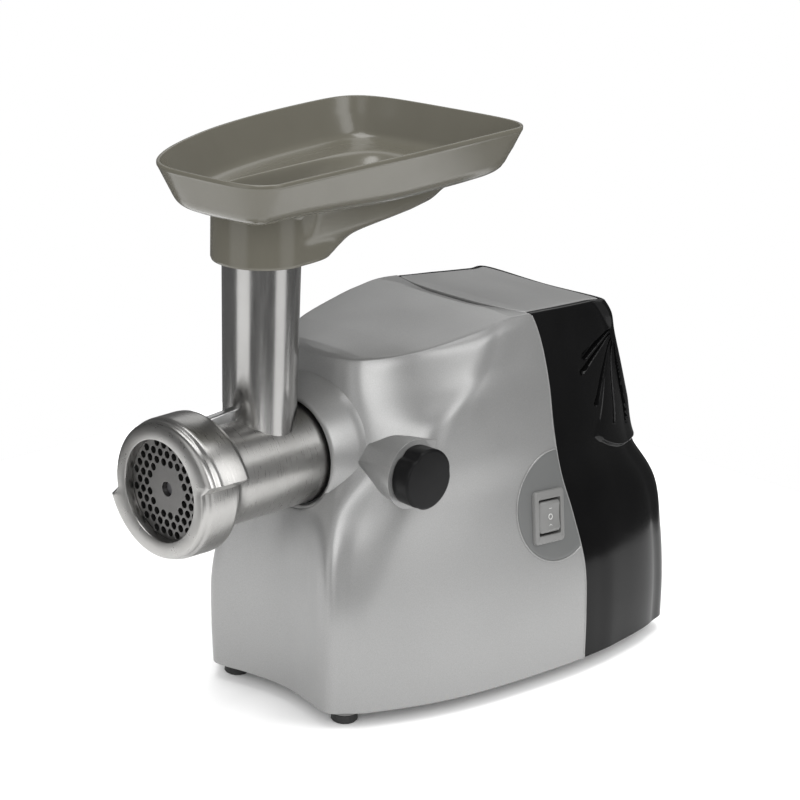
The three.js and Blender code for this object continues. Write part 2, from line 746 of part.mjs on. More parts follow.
// ---------------------------------------------------------------- feed tray
// Rim outline in tray axes, counter-clockwise from the front right; the tube axis is the origin.
const TRAY_RIM_CURVE = [
  [12, -66.5], [34, -66.5], [46.5, -65], [55, -59], [59.4, -48], [60.8, -30], [61.4, 20], [62.4, 70],
  [63.6, 112], [64, 133], [61.4, 146.6], [52.6, 154.6], [34, 157], [0, 156.4], [-34, 154.4],
  [-52, 149.5], [-60.8, 140], [-63.6, 124], [-63.6, 96], [-61.6, 62], [-56.4, 26], [-48.6, -4],
  [-39, -30], [-29, -48.5], [-19, -60], [-6, -65.6],
];
function closedCurve(points, perSpan) {
  const count = points.length;
  const out = [];
  for (let i = 0; i < count; i += 1) {
    const four = [-1, 0, 1, 2].map((k) => points[(i + k + count) % count]);
    for (let s = 0; s < perSpan; s += 1) {
      const t = s / perSpan;
      out.push([0, 1].map((axis) => cubic(...four.map((p) => p[axis]), t)));
    }
  }
  return out;
}
function insetOutline(points, amount) {
  const count = points.length;
  return points.map(([x, y], i) => {
    const [ax, ay] = points[(i - 1 + count) % count];
    const [bx, by] = points[(i + 1) % count];
    const length = Math.hypot(bx - ax, by - ay);
    return [x - ((by - ay) / length) * amount, y + ((bx - ax) / length) * amount];
  });
}
const rimOutline = closedCurve(TRAY_RIM_CURVE, 1);
const trayRing = (inset, z) => insetOutline(rimOutline, inset).map(([x, y]) => vec(x, y, z));
const trayOuter = loft([
  trayRing(20, -TRAY_DEPTH),
  trayRing(12, -TRAY_DEPTH + 3.6),
  trayRing(6, -TRAY_DEPTH + 12),
  trayRing(0.8, -3),
  trayRing(0, -2.4),
  trayRing(0, 0),
]);
const trayInner = loft([
  trayRing(20.6, -TRAY_DEPTH + TRAY_WALL),
  trayRing(14, -TRAY_DEPTH + TRAY_WALL + 3.4),
  trayRing(8.6, -TRAY_DEPTH + TRAY_WALL + 11),
  trayRing(2.2, 2),
]);
const chuteRing = (reach, halfWidth, z) =>
  Array.from({ length: 20 }, (_, i) => {
    const angle = (i / 20) * Math.PI * 2;
    const y = Math.sin(angle);
    const x = Math.cos(angle);
    if (y <= 0) {
      return vec(x * halfWidth, y * halfWidth, z);
    }
    return vec(Math.sign(x) * Math.abs(x) ** 0.5 * halfWidth, Math.sqrt(y) * reach, z);
  });
const TRAY_FLOOR = -TRAY_DEPTH;
const chuteOuter = loft([
  chuteRing(46, NECK_RADIUS, -57),
  chuteRing(55, NECK_RADIUS, -52),
  chuteRing(64, NECK_RADIUS + 1, -46),
  chuteRing(90, NECK_RADIUS + 2, -39),
  chuteRing(118, NECK_RADIUS + 4, -33),
  chuteRing(136, NECK_RADIUS + 7, TRAY_FLOOR + 1),
]);
const chuteInner = loft([
  chuteRing(40, NECK_RADIUS - 3.5, -53),
  chuteRing(51, NECK_RADIUS - 3, -48.5),
  chuteRing(61, NECK_RADIUS - 2, -43),
  chuteRing(87, NECK_RADIUS - 1, -36),
  chuteRing(115, NECK_RADIUS + 1, -30),
  chuteRing(132, NECK_RADIUS + 4, TRAY_FLOOR + TRAY_WALL + 0.5),
]);
const neckLow = NECK_BOTTOM - TRAY_RIM;
let tray = solid(trayOuter).add(solid(chuteOuter));
tray = tray.add(solid(alongZ(rod(NECK_RADIUS, neckLow, TRAY_FLOOR, 24))));
tray = tray.subtract(solid(trayInner)).subtract(solid(chuteInner));
tray = tray.subtract(solid(alongZ(rod(TUBE_BORE + 0.6, neckLow - 5, 0, 24))));
tray = tray.subtract(
  solid(alongZ(rod(TUBE_TOP_RADIUS + 0.5, neckLow - 5, TUBE_TOP + FIT - TRAY_RIM, 24))),
);

// ---------------------------------------------------------------- head socket, lock, switch
let socket = solid(
  revolve(
    [
      [SOCKET_BORE, SOCKET_FRONT],
      [SOCKET_OUTER, SOCKET_FRONT],
      [SOCKET_OUTER, SOCKET_REAR],
      [13, SOCKET_REAR],
      [13, SOCKET_REAR - 4],
      [SOCKET_BORE, SOCKET_REAR - 4],
    ],
    30,
  ),
);
socket = socket.subtract(lockBore(4.4, 20, 40));

const lockPin = alongX(rod(4, 24.6, 56, 12)).translate(0, LOCK_Y, 0);
let knob = solid(
  alongX(
    revolve(
      [
        [0, 46],
        [7.8, 46],
        [7.8, POD_FACE + FIT],
        [KNOB_RADIUS - 0.6, POD_FACE + FIT],
        [KNOB_RADIUS, POD_FACE + 1.5],
        [KNOB_RADIUS - 0.3, KNOB_FACE - 1.6],
        [KNOB_RADIUS - 1.7, KNOB_FACE],
        [0, KNOB_FACE],
      ],
      24,
    ),
  ).translate(0, LOCK_Y, 0),
);
knob = knob.subtract(lockBore(4.4, 40, 66, 12));
for (let grip = 0; grip < 3; grip += 1) {
  const angle = Math.PI / 2 + (grip * Math.PI * 2) / 3;
  const dent = alongX(rod(3.2, POD_FACE + 4, KNOB_FACE + 2, 10));
  dent.translate(0, LOCK_Y + 18.6 * Math.cos(angle), 18.6 * Math.sin(angle));
  knob = knob.subtract(solid(dent));
}

let switchBody = solid(box(-20, 0.5, -11.3, 11.3, -14.1, 14.1));
switchBody = switchBody.add(solid(box(-0.1, 2.4, -12.6, 12.6, -15.3, 15.3)));
switchBody = switchBody.subtract(solid(box(-10, 6, -9.2, 9.2, -10.4, 10.4)));
const rockerOutline = [
  [-5.5, -5.5], [-1, -9.1], [2.9, -9], [2.5, -4.5], [2.3, 0], [2.5, 4.5], [2.9, 9], [-1, 9.1],
  [-5.5, 5.5],
];
const rocker = prism(rockerOutline, -8.8, 8.8, "y");

// ---------------------------------------------------------------- gear train
const PRESSURE = THREE.MathUtils.degToRad(25);
const involute = (angle) => Math.tan(angle) - angle;

function gearOutline(teeth, size, addendum, dedendum, flankPoints, phase) {
  const pitch = (teeth * size) / 2;
  const baseCircle = pitch * Math.cos(PRESSURE);
  const tip = pitch + addendum * size;
  const root = pitch - dedendum * size;
  const halfTooth = Math.PI / (2 * teeth) - BACKLASH / (2 * pitch) + involute(PRESSURE);
  const halfAngle = (radius) => {
    const ratio = Math.min(1, baseCircle / Math.max(radius, baseCircle));
    return halfTooth - involute(Math.acos(ratio));
  };
  const radii = flankPoints > 2 ? [root] : [];
  const low = flankPoints > 2 ? Math.max(root + 0.25 * size, baseCircle) : root;
  for (let k = 0; k < flankPoints; k += 1) {
    radii.push(lerp(low, tip, k / (flankPoints - 1)));
  }
  const outline = [];
  for (let tooth = 0; tooth < teeth; tooth += 1) {
    const middle = phase + (tooth / teeth) * Math.PI * 2;
    const side = (sign, radius) => {
      const angle = middle + sign * halfAngle(radius);
      return [radius * Math.cos(angle), radius * Math.sin(angle)];
    };
    outline.push(...radii.map((radius) => side(-1, radius)));
    outline.push(...[...radii].reverse().map((radius) => side(1, radius)));
  }
  return outline;
}

const towardsLayshaft = Math.atan2(LAYSHAFT_Z, LAYSHAFT_X);
const towardsMotor = Math.atan2(MOTOR_Z - LAYSHAFT_Z, -LAYSHAFT_X);
const halfStep = (teeth) => Math.PI / teeth;
const outputPhase = towardsLayshaft;
const pinionPhase = towardsLayshaft + Math.PI + halfStep(OUTPUT_PINION_TEETH);
const wheelPhase = towardsMotor;
const motorPhase = towardsMotor + Math.PI + halfStep(MOTOR_PINION_TEETH);

let outputGear = solid(
  prism(gearOutline(OUTPUT_TEETH, OUTPUT_MODULE, 0.85, 1.15, 2, outputPhase), 148, 160, "y"),
);
outputGear = outputGear.add(solid(rod(11.6, 124, 160, 20)));
outputGear = outputGear.add(solid(rod(8, 150, 179, 16)));
outputGear = outputGear.subtract(solid(prism(hexagon(13.4), 120, 143, "y")));

const layGear = solid(
  prism(gearOutline(OUTPUT_PINION_TEETH, OUTPUT_MODULE, 0.85, 1.15, 4, pinionPhase), 147, 163, "y"),
);
const layWheel = solid(
  prism(gearOutline(WHEEL_TEETH, WHEEL_MODULE, 0.85, 1.15, 2, wheelPhase), 162.5, 172, "y"),
);
const compound = layGear.add(layWheel).subtract(solid(rod(4.2, 140, 180, 14)));
const motorPinion = prism(
  gearOutline(MOTOR_PINION_TEETH, WHEEL_MODULE, 0.85, 1.15, 4, motorPhase),
  162.5,
  173.5,
  "y",
  [ring(4.2, 14).reverse()],
);

const gearboxOutline = (grow) =>
  hull2d([
    ...ring(40 + grow, 20),
    ...ring(40.5 + grow, 20, LAYSHAFT_X, LAYSHAFT_Z),
    ...ring(16 + grow, 12, 0, MOTOR_Z),
  ]);
const EARS = [[-31, 34], [38, 26], [-28, -72], [47, -80]];
let gearbox = solid(prism(gearboxOutline(3), 138, 176, "y"));
let gearboxCover = solid(prism(gearboxOutline(3), 176.3, 180, "y"));
for (const [x, z] of EARS) {
  gearbox = gearbox.add(solid(prism(ring(6, 10, x, z), 160, 176, "y")));
  gearboxCover = gearboxCover.add(solid(prism(ring(6, 10, x, z), 176.3, 180, "y")));
}
gearbox = gearbox.subtract(solid(prism(gearboxOutline(0), 142, 180, "y")));
for (const [x, z] of EARS) {
  const boss = solid(prism(ring(6, 10, x, z), 160, 176, "y"));
  const clearOfGears = solid(prism(gearboxOutline(-0.8), 142, 180, "y"));
  gearbox = gearbox.add(boss.subtract(clearOfGears));
  gearbox = gearbox.subtract(solid(prism(ring(2.1, 8, x, z), 163, 180, "y")));
  gearboxCover = gearboxCover.subtract(solid(prism(ring(2.1, 8, x, z), 170, 190, "y")));
}
gearbox = gearbox.subtract(solid(rod(16.3, 134, 145, 24)));
gearbox = gearbox.subtract(solid(rod(4.2, 134, 150, 14).translate(LAYSHAFT_X, 0, LAYSHAFT_Z)));
gearboxCover = gearboxCover.subtract(solid(rod(8.5, 170, 190, 16)));
gearboxCover = gearboxCover.subtract(
  solid(rod(4.2, 170, 178.6, 14).translate(LAYSHAFT_X, 0, LAYSHAFT_Z)),
);
gearboxCover = gearboxCover.subtract(solid(rod(7, 170, 190, 16).translate(0, 0, MOTOR_Z)));

// ---------------------------------------------------------------- motor, drawn about its own axis
const STACK = [205, 245];
function sector(inner, outer, from, to, y0, y1) {
  const steps = 8;
  const outline = [];
  for (let i = 0; i <= steps; i += 1) {
    const angle = lerp(from, to, i / steps);
    outline.push([outer * Math.cos(angle), outer * Math.sin(angle)]);
  }
  for (let i = steps; i >= 0; i -= 1) {
    const angle = lerp(from, to, i / steps);
    outline.push([inner * Math.cos(angle), inner * Math.sin(angle)]);
  }
  return solid(prism(outline, y0, y1, "y"));
}
const deg = THREE.MathUtils.degToRad;
let stator = solid(tube(20.8, 36, STACK[0], STACK[1], 24));
stator = stator.subtract(sector(15, 31, deg(-36), deg(36), 200, 250));
stator = stator.subtract(sector(15, 31, deg(144), deg(216), 200, 250));
const coilAt = (turn) => {
  const winding = sector(22.6, 30, turn - deg(74), turn + deg(74), 197, 253);
  return winding.subtract(sector(15, 40, turn - deg(56), turn + deg(56), 204, 246));
};
const coilUpper = coilAt(deg(90));
const coilLower = coilAt(deg(270));

const armature = revolve(
  [
    [4.2, 198], [15, 198], [17.5, 201], [17.5, 205], [20, 205], [20, 245], [17.5, 245],
    [17.5, 250], [14, 253], [4.2, 253],
  ],
  18,
);
const commutator = tube(4.2, 11, 256, 270, 20);
const motorShaft = rod(4, 158, 303, 14);
let fan = solid(tube(4.2, 9, 288, 300, 20));
for (let blade = 0; blade < 7; blade += 1) {
  const vane = new THREE.BoxGeometry(21, 1.6, 12);
  vane.rotateX(Math.PI / 4);
  vane.translate(17.5, 294, 0);
  vane.rotateY((blade / 7) * Math.PI * 2);
  fan = fan.add(solid(vane));
}
let frontBracket = solid(
  revolve(
    [
      [11.3, 183], [13.5, 180.3], [16, 180.3], [16, 184], [36, 184], [36, 204.7], [33.5, 204.7],
      [33.5, 187.5], [11.3, 187.5],
    ],
    20,
  ),
);
frontBracket = frontBracket.subtract(solid(box(-50, 50, 190, 202, -9, 9)));
let rearBracket = solid(
  revolve(
    [
      [11.3, 276.5], [33.5, 276.5], [33.5, 245.3], [36, 245.3], [36, 281], [14, 281], [14, 284],
      [11.3, 284],
    ],
    20,
  ),
);
rearBracket = rearBracket.subtract(solid(box(-50, 50, 257, 269, -6, 6)));
const bearing = (y0) => tube(4.2, 11, y0, y0 + 6.5, 14);
const holder = (side) => {
  const block = solid(box(13.5, 38, 257.5, 268.5, -5.5, 5.5));
  const hollow = solid(box(10, 34, 259.7, 266.3, -3.3, 3.3));
  const body = block.subtract(hollow);
  return side > 0 ? body : body.mirror([1, 0, 0]);
};
const brush = (side) => box(side > 0 ? 11.3 : -26, side > 0 ? 26 : -11.3, 260, 266, -3, 3);

// ---------------------------------------------------------------- cord gland
const gland = tube(4, 9.5, 336.2, 338, 16);
const glandNeck = tube(4, 6.1, 328, 337, 16);
const cordGland = solid(gland).add(solid(glandNeck));

// ---------------------------------------------------------------- assembly
const root = new THREE.Group();
root.name = "electric_meat_grinder";
const machine = new THREE.Group();
machine.name = "machine";
machine.position.set(0, -OVERALL_LENGTH / 2, AXIS_HEIGHT);
root.add(machine);

const groups = {};
for (const name of ["housing", "drive", "motor", "grinding_head", "switch_unit", "tray_unit"]) {
  groups[name] = new THREE.Group();
  groups[name].name = name;
  machine.add(groups[name]);
}
groups.motor.position.set(0, 0, MOTOR_Z);
groups.switch_unit.position.set(...SWITCH_CENTRE);
groups.switch_unit.rotation.set(SWITCH_LEAN, SWITCH_TILT, 0);
groups.tray_unit.position.set(0, TUBE_Y, TRAY_RIM);
groups.tray_unit.rotation.z = TRAY_TURN;

// Largest piece of a cut body: thin slivers left by the cuts are dropped.
function largest(body) {
  const biggest = (pieces) =>
    pieces.reduce((top, piece) => (piece.volume() > top.volume() ? piece : top));
  return biggest(biggest(body.decompose()).simplify(TOLERANCE).decompose());
}

function add(group, name, shape, material, place = [0, 0, 0]) {
  const geometry = shape.getMesh ? geometryOf(largest(shape)) : welded(shape);
  const mesh = new THREE.Mesh(flat(geometry), material);
  mesh.name = name;
  mesh.position.set(...place);
  groups[group].add(mesh);
}

add("housing", "front_shell", front, SILVER);
add("housing", "rear_cover", rear, BLACK_GLOSS);
add("housing", "top_panel", topPanel, SILVER);
add("housing", "switch_panel", panel, GREY_PANEL);
add("housing", "base_plate", base, LIGHT_PLASTIC);
add("housing", "head_socket", socket, BLACK_PLASTIC);
add("housing", "lock_knob", knob, BLACK_PLASTIC);
add("housing", "lock_pin", lockPin, STEEL);
add("housing", "cord_gland", cordGland, RUBBER, [GLAND[0], 0, GLAND[1]]);
const corners = [
  ["front_left", -FRONT_FOOT[0], FRONT_FOOT[1]],
  ["front_right", FRONT_FOOT[0], FRONT_FOOT[1]],
  ["rear_left", -REAR_FOOT[0], REAR_FOOT[1]],
  ["rear_right", REAR_FOOT[0], REAR_FOOT[1]],
];
for (const [corner, x, y] of corners) {
  add("housing", `foot_${corner}`, alongZ(revolve(footProfile, 14)), RUBBER, [x, y, 0]);
  add("housing", `base_screw_${corner}`, alongZ(revolve(screwProfile, 8)), STEEL, [x, y, 0]);
}

add("switch_unit", "switch_body", switchBody, LIGHT_PLASTIC);
add("switch_unit", "switch_rocker", rocker, LIGHT_PLASTIC);

add("drive", "gearbox_housing", gearbox, GEARBOX_PLASTIC);
add("drive", "gearbox_cover", gearboxCover, GEARBOX_PLASTIC);
add("drive", "output_gear", outputGear, GEAR_NYLON);
add("drive", "output_bearing", tube(11.9, 16, 138.2, 144, 24), STEEL);
add("drive", "intermediate_gear", compound, GEAR_NYLON, [LAYSHAFT_X, 0, LAYSHAFT_Z]);
add("drive", "intermediate_shaft", rod(4, 138.5, 178.3, 14), STEEL, [LAYSHAFT_X, 0, LAYSHAFT_Z]);
EARS.forEach(([x, z], i) => {
  const profile = [[0, 166], [1.9, 166], [1.9, 180.3], [3.8, 180.3], [3.8, 182.8], [0, 182.8]];
  add("drive", `gearbox_screw_${i + 1}`, revolve(profile, 8), STEEL, [x, 0, z]);
});

add("motor", "motor_pinion", motorPinion, STEEL);
add("motor", "motor_shaft", motorShaft, STEEL);
add("motor", "armature", armature, IRON);
add("motor", "commutator", commutator, COPPER);
add("motor", "cooling_fan", fan, GEARBOX_PLASTIC);
add("motor", "motor_stator", stator, IRON);
add("motor", "field_coil_upper", coilUpper, COPPER);
add("motor", "field_coil_lower", coilLower, COPPER);
add("motor", "front_motor_bracket", frontBracket, CAST_ALUMINIUM);
add("motor", "rear_motor_bracket", rearBracket, CAST_ALUMINIUM);
add("motor", "front_motor_bearing", bearing(180.5), STEEL);
add("motor", "rear_motor_bearing", bearing(276.8), STEEL);
add("motor", "brush_holder_left", holder(-1), BLACK_PLASTIC);
add("motor", "brush_holder_right", holder(1), BLACK_PLASTIC);
add("motor", "carbon_brush_left", brush(-1), CARBON);
add("motor", "carbon_brush_right", brush(1), CARBON);

add("grinding_head", "grinder_head", head, CAST_ALUMINIUM);
add("grinding_head", "ring_nut", nut, CAST_ALUMINIUM);
add("grinding_head", "cutting_plate", plate, PLATE_STEEL);
add("grinding_head", "plate_key", alongZ(rod(1.4, 29, 34, 10)).translate(0, 10, 0), STEEL);
add("grinding_head", "knife", knife, PLATE_STEEL);
add("grinding_head", "auger", auger, CAST_ALUMINIUM);
add("grinding_head", "auger_washer", tube(10.4, 15, 113, 115.6, 20), GEAR_NYLON);

add("tray_unit", "feed_tray", tray, TRAY_PLASTIC);

export default root;
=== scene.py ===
import math
from contextlib import contextmanager

import bmesh
import bpy
import numpy as np
from mathutils import Matrix, Vector


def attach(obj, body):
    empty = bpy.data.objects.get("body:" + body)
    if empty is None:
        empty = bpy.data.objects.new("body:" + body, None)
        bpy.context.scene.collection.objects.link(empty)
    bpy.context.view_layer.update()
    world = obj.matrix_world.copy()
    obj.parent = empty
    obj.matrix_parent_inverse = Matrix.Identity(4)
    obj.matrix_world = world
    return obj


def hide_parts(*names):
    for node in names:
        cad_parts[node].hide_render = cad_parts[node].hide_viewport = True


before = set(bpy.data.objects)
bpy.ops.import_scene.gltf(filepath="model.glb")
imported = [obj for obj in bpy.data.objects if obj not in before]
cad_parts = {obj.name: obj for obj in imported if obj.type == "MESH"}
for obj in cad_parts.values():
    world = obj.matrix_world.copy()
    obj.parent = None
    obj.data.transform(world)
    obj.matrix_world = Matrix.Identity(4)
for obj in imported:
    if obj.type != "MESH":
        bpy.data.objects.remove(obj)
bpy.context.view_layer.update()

# Electric meat grinder. Shapes are written in millimetres in the drive frame: origin on the barrel
# axis at the ring nut's face, +X to the switch side, +Y to the rear, +Z up.
HALF_LENGTH = 169.0
AXIS_HEIGHT = 145.5
MM = 0.001


def to_frame(points):
    """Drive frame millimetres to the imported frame's metres."""
    out = np.asarray(points, dtype=float).reshape(-1, 3).copy()
    out[:, 1] -= HALF_LENGTH
    out[:, 2] += AXIS_HEIGHT
    return out * MM


# ---- materials
MATERIALS = {}
NOISE_LOW, NOISE_HIGH = 0.3, 0.7


class Shader:
    """Small helper round one material's node tree."""

    def __init__(self, name):
        self.material = bpy.data.materials.new(name)
        self.material.use_nodes = True
        self.tree = self.material.node_tree
        self.tree.nodes.clear()
        self.out = self.node("ShaderNodeOutputMaterial")
        self.bsdf = self.node("ShaderNodeBsdfPrincipled")
        self.fill(self.out, {"Surface": self.bsdf.outputs[0]})
        MATERIALS[name] = self.material

    def node(self, kind, inputs=None, **settings):
        made = self.tree.nodes.new(kind)
        for key, value in settings.items():
            setattr(made, key, value)
        self.fill(made, inputs or {})
        return made

    def fill(self, node, inputs):
        """Constants and links on a node's input sockets."""
        for socket, value in inputs.items():
            if isinstance(value, bpy.types.NodeSocket):
                self.tree.links.new(value, node.inputs[socket])
            else:
                node.inputs[socket].default_value = value

    def surface(self, inputs):
        self.fill(self.bsdf, inputs)

    def position(self, scale=(1, 1, 1)):
        """The piece's own coordinates, so the pattern travels with it."""
        source = self.node("ShaderNodeTexCoord").outputs["Object"]
        return self.node("ShaderNodeMapping", {"Vector": source, "Scale": scale}).outputs["Vector"]

    def noise(self, vector, scale, detail=3.0, roughness=0.5):
        inputs = {"Vector": vector, "Scale": scale, "Detail": detail, "Roughness": roughness}
        return self.node("ShaderNodeTexNoise", inputs).outputs["Fac"]

    def ramp(self, pattern, low, high):
        """Spreads the middle of a noise pattern between two values."""
        inputs = {"Value": pattern, "From Min": NOISE_LOW, "From Max": NOISE_HIGH,
                  "To Min": low, "To Max": high}
        return self.node("ShaderNodeMapRange", inputs).outputs["Result"]

    def mix_colour(self, pattern, low, high):
        inputs = {"Factor": self.ramp(pattern, 0, 1), "A": (*low, 1), "B": (*high, 1)}
        return self.node("ShaderNodeMix", inputs, data_type="RGBA").outputs["Result"]

    def bump(self, pattern, strength, distance):
        inputs = {"Height": pattern, "Strength": strength, "Distance": distance}
        return self.node("ShaderNodeBump", inputs).outputs["Normal"]


def make_plastic(name, dark, light, rough, grain, grain_size=900, specular=0.5):
    """Moulded plastic: two close tones, slow changes in gloss and a fine grain."""
    s = Shader(name)
    spot = s.position()
    s.surface({"Base Color": s.mix_colour(s.noise(spot, 22.0, 4.0), dark, light),
               "Roughness": s.ramp(s.noise(spot, 60.0, 5.0), *rough),
               "Specular IOR Level": specular,
               "Normal": s.bump(s.noise(spot, grain_size, 2.0), grain, 0.0002)})


def make_metal(name, dark, light, rough, stretch, depth, scale=120):
    """Bare metal: tool marks stretched along one axis, on two close tones."""
    s = Shader(name)
    line = s.noise(s.position(stretch), scale, 6.0, 0.65)
    s.surface({"Base Color": s.mix_colour(s.noise(s.position(), 18.0, 3.0), dark, light),
               "Roughness": s.ramp(line, *rough),
               "Metallic": 1.0,
               "Normal": s.bump(line, depth, 0.0003)})


def make_silver_paint():
    """Metallic paint: fine flakes under a thin clear coat."""
    s = Shader("silver_paint")
    spot = s.position()
    flake = s.noise(spot, 2600.0, 2.0, 0.6)
    s.surface({"Base Color": s.mix_colour(flake, (0.235, 0.235, 0.233), (0.29, 0.29, 0.287)),
               "Roughness": s.ramp(s.noise(spot, 40.0, 4.0), 0.33, 0.38),
               "Metallic": 0.55, "Coat Weight": 0.12, "Coat Roughness": 0.25,
               "Normal": s.bump(flake, 0.04, 0.0001)})


# Name: dark tone, light tone, roughness range, grain, grain size, specular level.
PLASTICS = {
    "black_gloss": ((0.0025, 0.0025, 0.0026), (0.004, 0.004, 0.0041), (0.12, 0.17), 0.02, 500, 0.15),
    "black_plastic": ((0.004, 0.004, 0.0042), (0.007, 0.007, 0.0073), (0.30, 0.40), 0.08, 900, 0.1),
    "tray_plastic": ((0.088, 0.083, 0.066), (0.096, 0.091, 0.073), (0.18, 0.23), 0.02, 700, 0.45),
    "grey_panel": ((0.085, 0.087, 0.086), (0.097, 0.099, 0.098), (0.36, 0.44), 0.05, 900, 0.35),
    "light_plastic": ((0.125, 0.125, 0.122), (0.145, 0.145, 0.142), (0.32, 0.42), 0.04, 900, 0.35),
    "mark_grey": ((0.40, 0.40, 0.39), (0.46, 0.46, 0.45), (0.40, 0.50), 0.04),
    "rubber": ((0.010, 0.010, 0.010), (0.018, 0.018, 0.018), (0.60, 0.80), 0.20),
    "gear_nylon": ((0.66, 0.62, 0.52), (0.74, 0.70, 0.60), (0.42, 0.52), 0.05),
    "gearbox_plastic": ((0.035, 0.038, 0.042), (0.050, 0.054, 0.058), (0.45, 0.58), 0.12),
    "carbon": ((0.016, 0.016, 0.016), (0.030, 0.030, 0.030), (0.55, 0.75), 0.15),
}
# Name: dark tone, light tone, roughness range, stretch of the marks, their depth and their scale.
METALS = {
    "turned_aluminium": ((0.32, 0.315, 0.305), (0.40, 0.395, 0.385), (0.25, 0.36), (1, 18, 1), 0.04),
    "polished_aluminium": ((0.46, 0.455, 0.445), (0.54, 0.535, 0.525), (0.16, 0.26), (6, 6, 0.6), 0.06, 60),
    "cast_aluminium": ((0.38, 0.38, 0.38), (0.48, 0.48, 0.48), (0.24, 0.38), (1, 1, 1), 0.15),
    "plate_steel": ((0.16, 0.157, 0.153), (0.22, 0.216, 0.212), (0.34, 0.50), (1, 1, 1), 0.10, 300),
    "steel": ((0.52, 0.52, 0.53), (0.60, 0.60, 0.61), (0.22, 0.34), (1, 12, 1), 0.06),
    "laminated_iron": ((0.16, 0.16, 0.17), (0.24, 0.24, 0.25), (0.40, 0.60), (1, 90, 1), 0.30),
    "enamelled_copper": ((0.42, 0.15, 0.05), (0.55, 0.24, 0.09), (0.22, 0.38), (60, 1, 60), 0.30),
}
make_silver_paint()
for make, looks in ((make_plastic, PLASTICS), (make_metal, METALS)):
    for name, look in looks.items():
        make(name, *look)


# ---- mesh helpers
@contextmanager
def editing(data):
    """Opens a mesh for edits and writes them back."""
    work = bmesh.new()
    work.from_mesh(data)
    yield work
    work.to_mesh(data)
    work.free()


def make_object(name, points, faces, material, body, sharp):
    """New piece from drive frame points and faces."""
    data = bpy.data.meshes.new(name)
    data.from_pydata([tuple(p) for p in to_frame(points)], [], [tuple(int(i) for i in f) for f in faces])
    return finish_object(name, data, material, body, sharp)


def finish_object(name, data, material, body, sharp):
    """Cleans a mesh, shades it smooth up to the sharp angle, gives it its material and hangs it on its
    body.
    """
    with editing(data) as work:
        bmesh.ops.remove_doubles(work, verts=work.verts, dist=1e-6)
        bmesh.ops.dissolve_degenerate(work, edges=work.edges, dist=1e-7)
        bmesh.ops.recalc_face_normals(work, faces=work.faces)
    data.polygons.foreach_set("use_smooth", [True] * len(data.polygons))
    data.set_sharp_from_angle(angle=math.radians(sharp))
    data.materials.clear()
    data.materials.append(MATERIALS[material])
    obj = bpy.data.objects.new(name, data)
    bpy.context.scene.collection.objects.link(obj)
    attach(obj, body)
    return obj


def grid_faces(rows, columns, wrap_rows=False, wrap_columns=False):
    """Quads of a grid of points, closed round either way."""
    faces = []
    for r in range(rows if wrap_rows else rows - 1):
        r2 = (r + 1) % rows
        for c in range(columns if wrap_columns else columns - 1):
            c2 = (c + 1) % columns
            faces.append((r * columns + c, r * columns + c2, r2 * columns + c2, r2 * columns + c))
    return faces


def grid_piece(name, rows, material, body, sharp, wrap_rows=False, wrap_columns=True):
    """New piece from rows of points."""
    grid = np.array(rows)
    faces = grid_faces(*grid.shape[:2], wrap_rows, wrap_columns)
    return make_object(name, grid.reshape(-1, 3), faces, material, body, sharp)


def turns(count):
    """Evenly spaced angles round a circle."""
    return np.arange(count) / count * 2 * math.pi


def rod(line, out, radius, sides, closed=False):
    """Rows of a thin round rod along a line, given the line's outward direction."""
    tangent = np.roll(line, -1, 0) - np.roll(line, 1, 0) if closed else np.gradient(line, axis=0)
    tangent /= np.linalg.norm(tangent, axis=-1, keepdims=True)
    side = np.cross(tangent, out)
    return [line + (out * math.cos(a) + side * math.sin(a)) * radius for a in turns(sides)]


def revolve(profile, segments, axis="y", wave=None):
    """Rows of a turned surface; the profile lists (radius, place along the axis)."""
    angles = turns(segments)
    radius = profile[:, :1] * np.ones(segments)
    along = profile[:, 1:] * np.ones(segments)
    if wave is not None:
        radius = radius + wave(radius, along, angles[None, :])
    a = radius * np.cos(angles)
    b = radius * np.sin(angles)
    order = {"y": (a, along, b), "x": (along, a, b), "z": (a, b, along)}[axis]
    return np.stack(order, -1)


def smooth_profile(points, radii, steps=5):
    """Rounds the corners of an open profile, each by its own radius."""
    points = np.array(points, dtype=float)
    out = [points[0]]
    for before, here, after, radius in zip(points, points[1:], points[2:], radii[1:]):
        back, ahead = np.linalg.norm(before - here), np.linalg.norm(after - here)
        reach = min(radius, 0.49 * back, 0.49 * ahead)
        if reach < 1e-6:
            out.append(here)
            continue
        a = here + (before - here) / back * reach
        b = here + (after - here) / ahead * reach
        for t in np.arange(steps + 1) / steps:
            out.append((1 - t) ** 2 * a + 2 * t * (1 - t) * here + t ** 2 * b)
    out.append(points[-1])
    return np.array(out)


def turned(name, points, radii, material, body, segments=96, axis="y", shift=(0, 0, 0),
           wave=None, sharp=30.0):
    """Turned piece round an axis, with the corners of its profile rounded."""
    rows = revolve(smooth_profile(points, radii), segments, axis, wave) + np.array(shift, dtype=float)
    return grid_piece(name, rows, material, body, sharp)


def soften(obj, width, segments, angle):
    """Small bevel on every edge sharper than the angle."""
    edge = obj.modifiers.new("edge", "BEVEL")
    edge.width = width * MM
    edge.segments = segments
    edge.limit_method = "ANGLE"
    edge.angle_limit = math.radians(angle)


def smoothstep(edge0, edge1, value):
    """0 below the first edge, 1 above the second, smooth between."""
    t = np.clip((value - edge0) / (edge1 - edge0), 0, 1)
    return t * t * (3 - 2 * t)


def spans(start, *parts):
    """Values over adjoining spans, each given as where it ends and how many points it has."""
    out = [start]
    for end, count in parts:
        out.extend(np.linspace(out[-1], end, count)[1:])
    return np.array(out)


def blur(line):
    """One smoothing pass along an open line, all but its two ends."""
    return 0.25 * line[:-2] + 0.5 * line[1:-1] + 0.25 * line[2:]


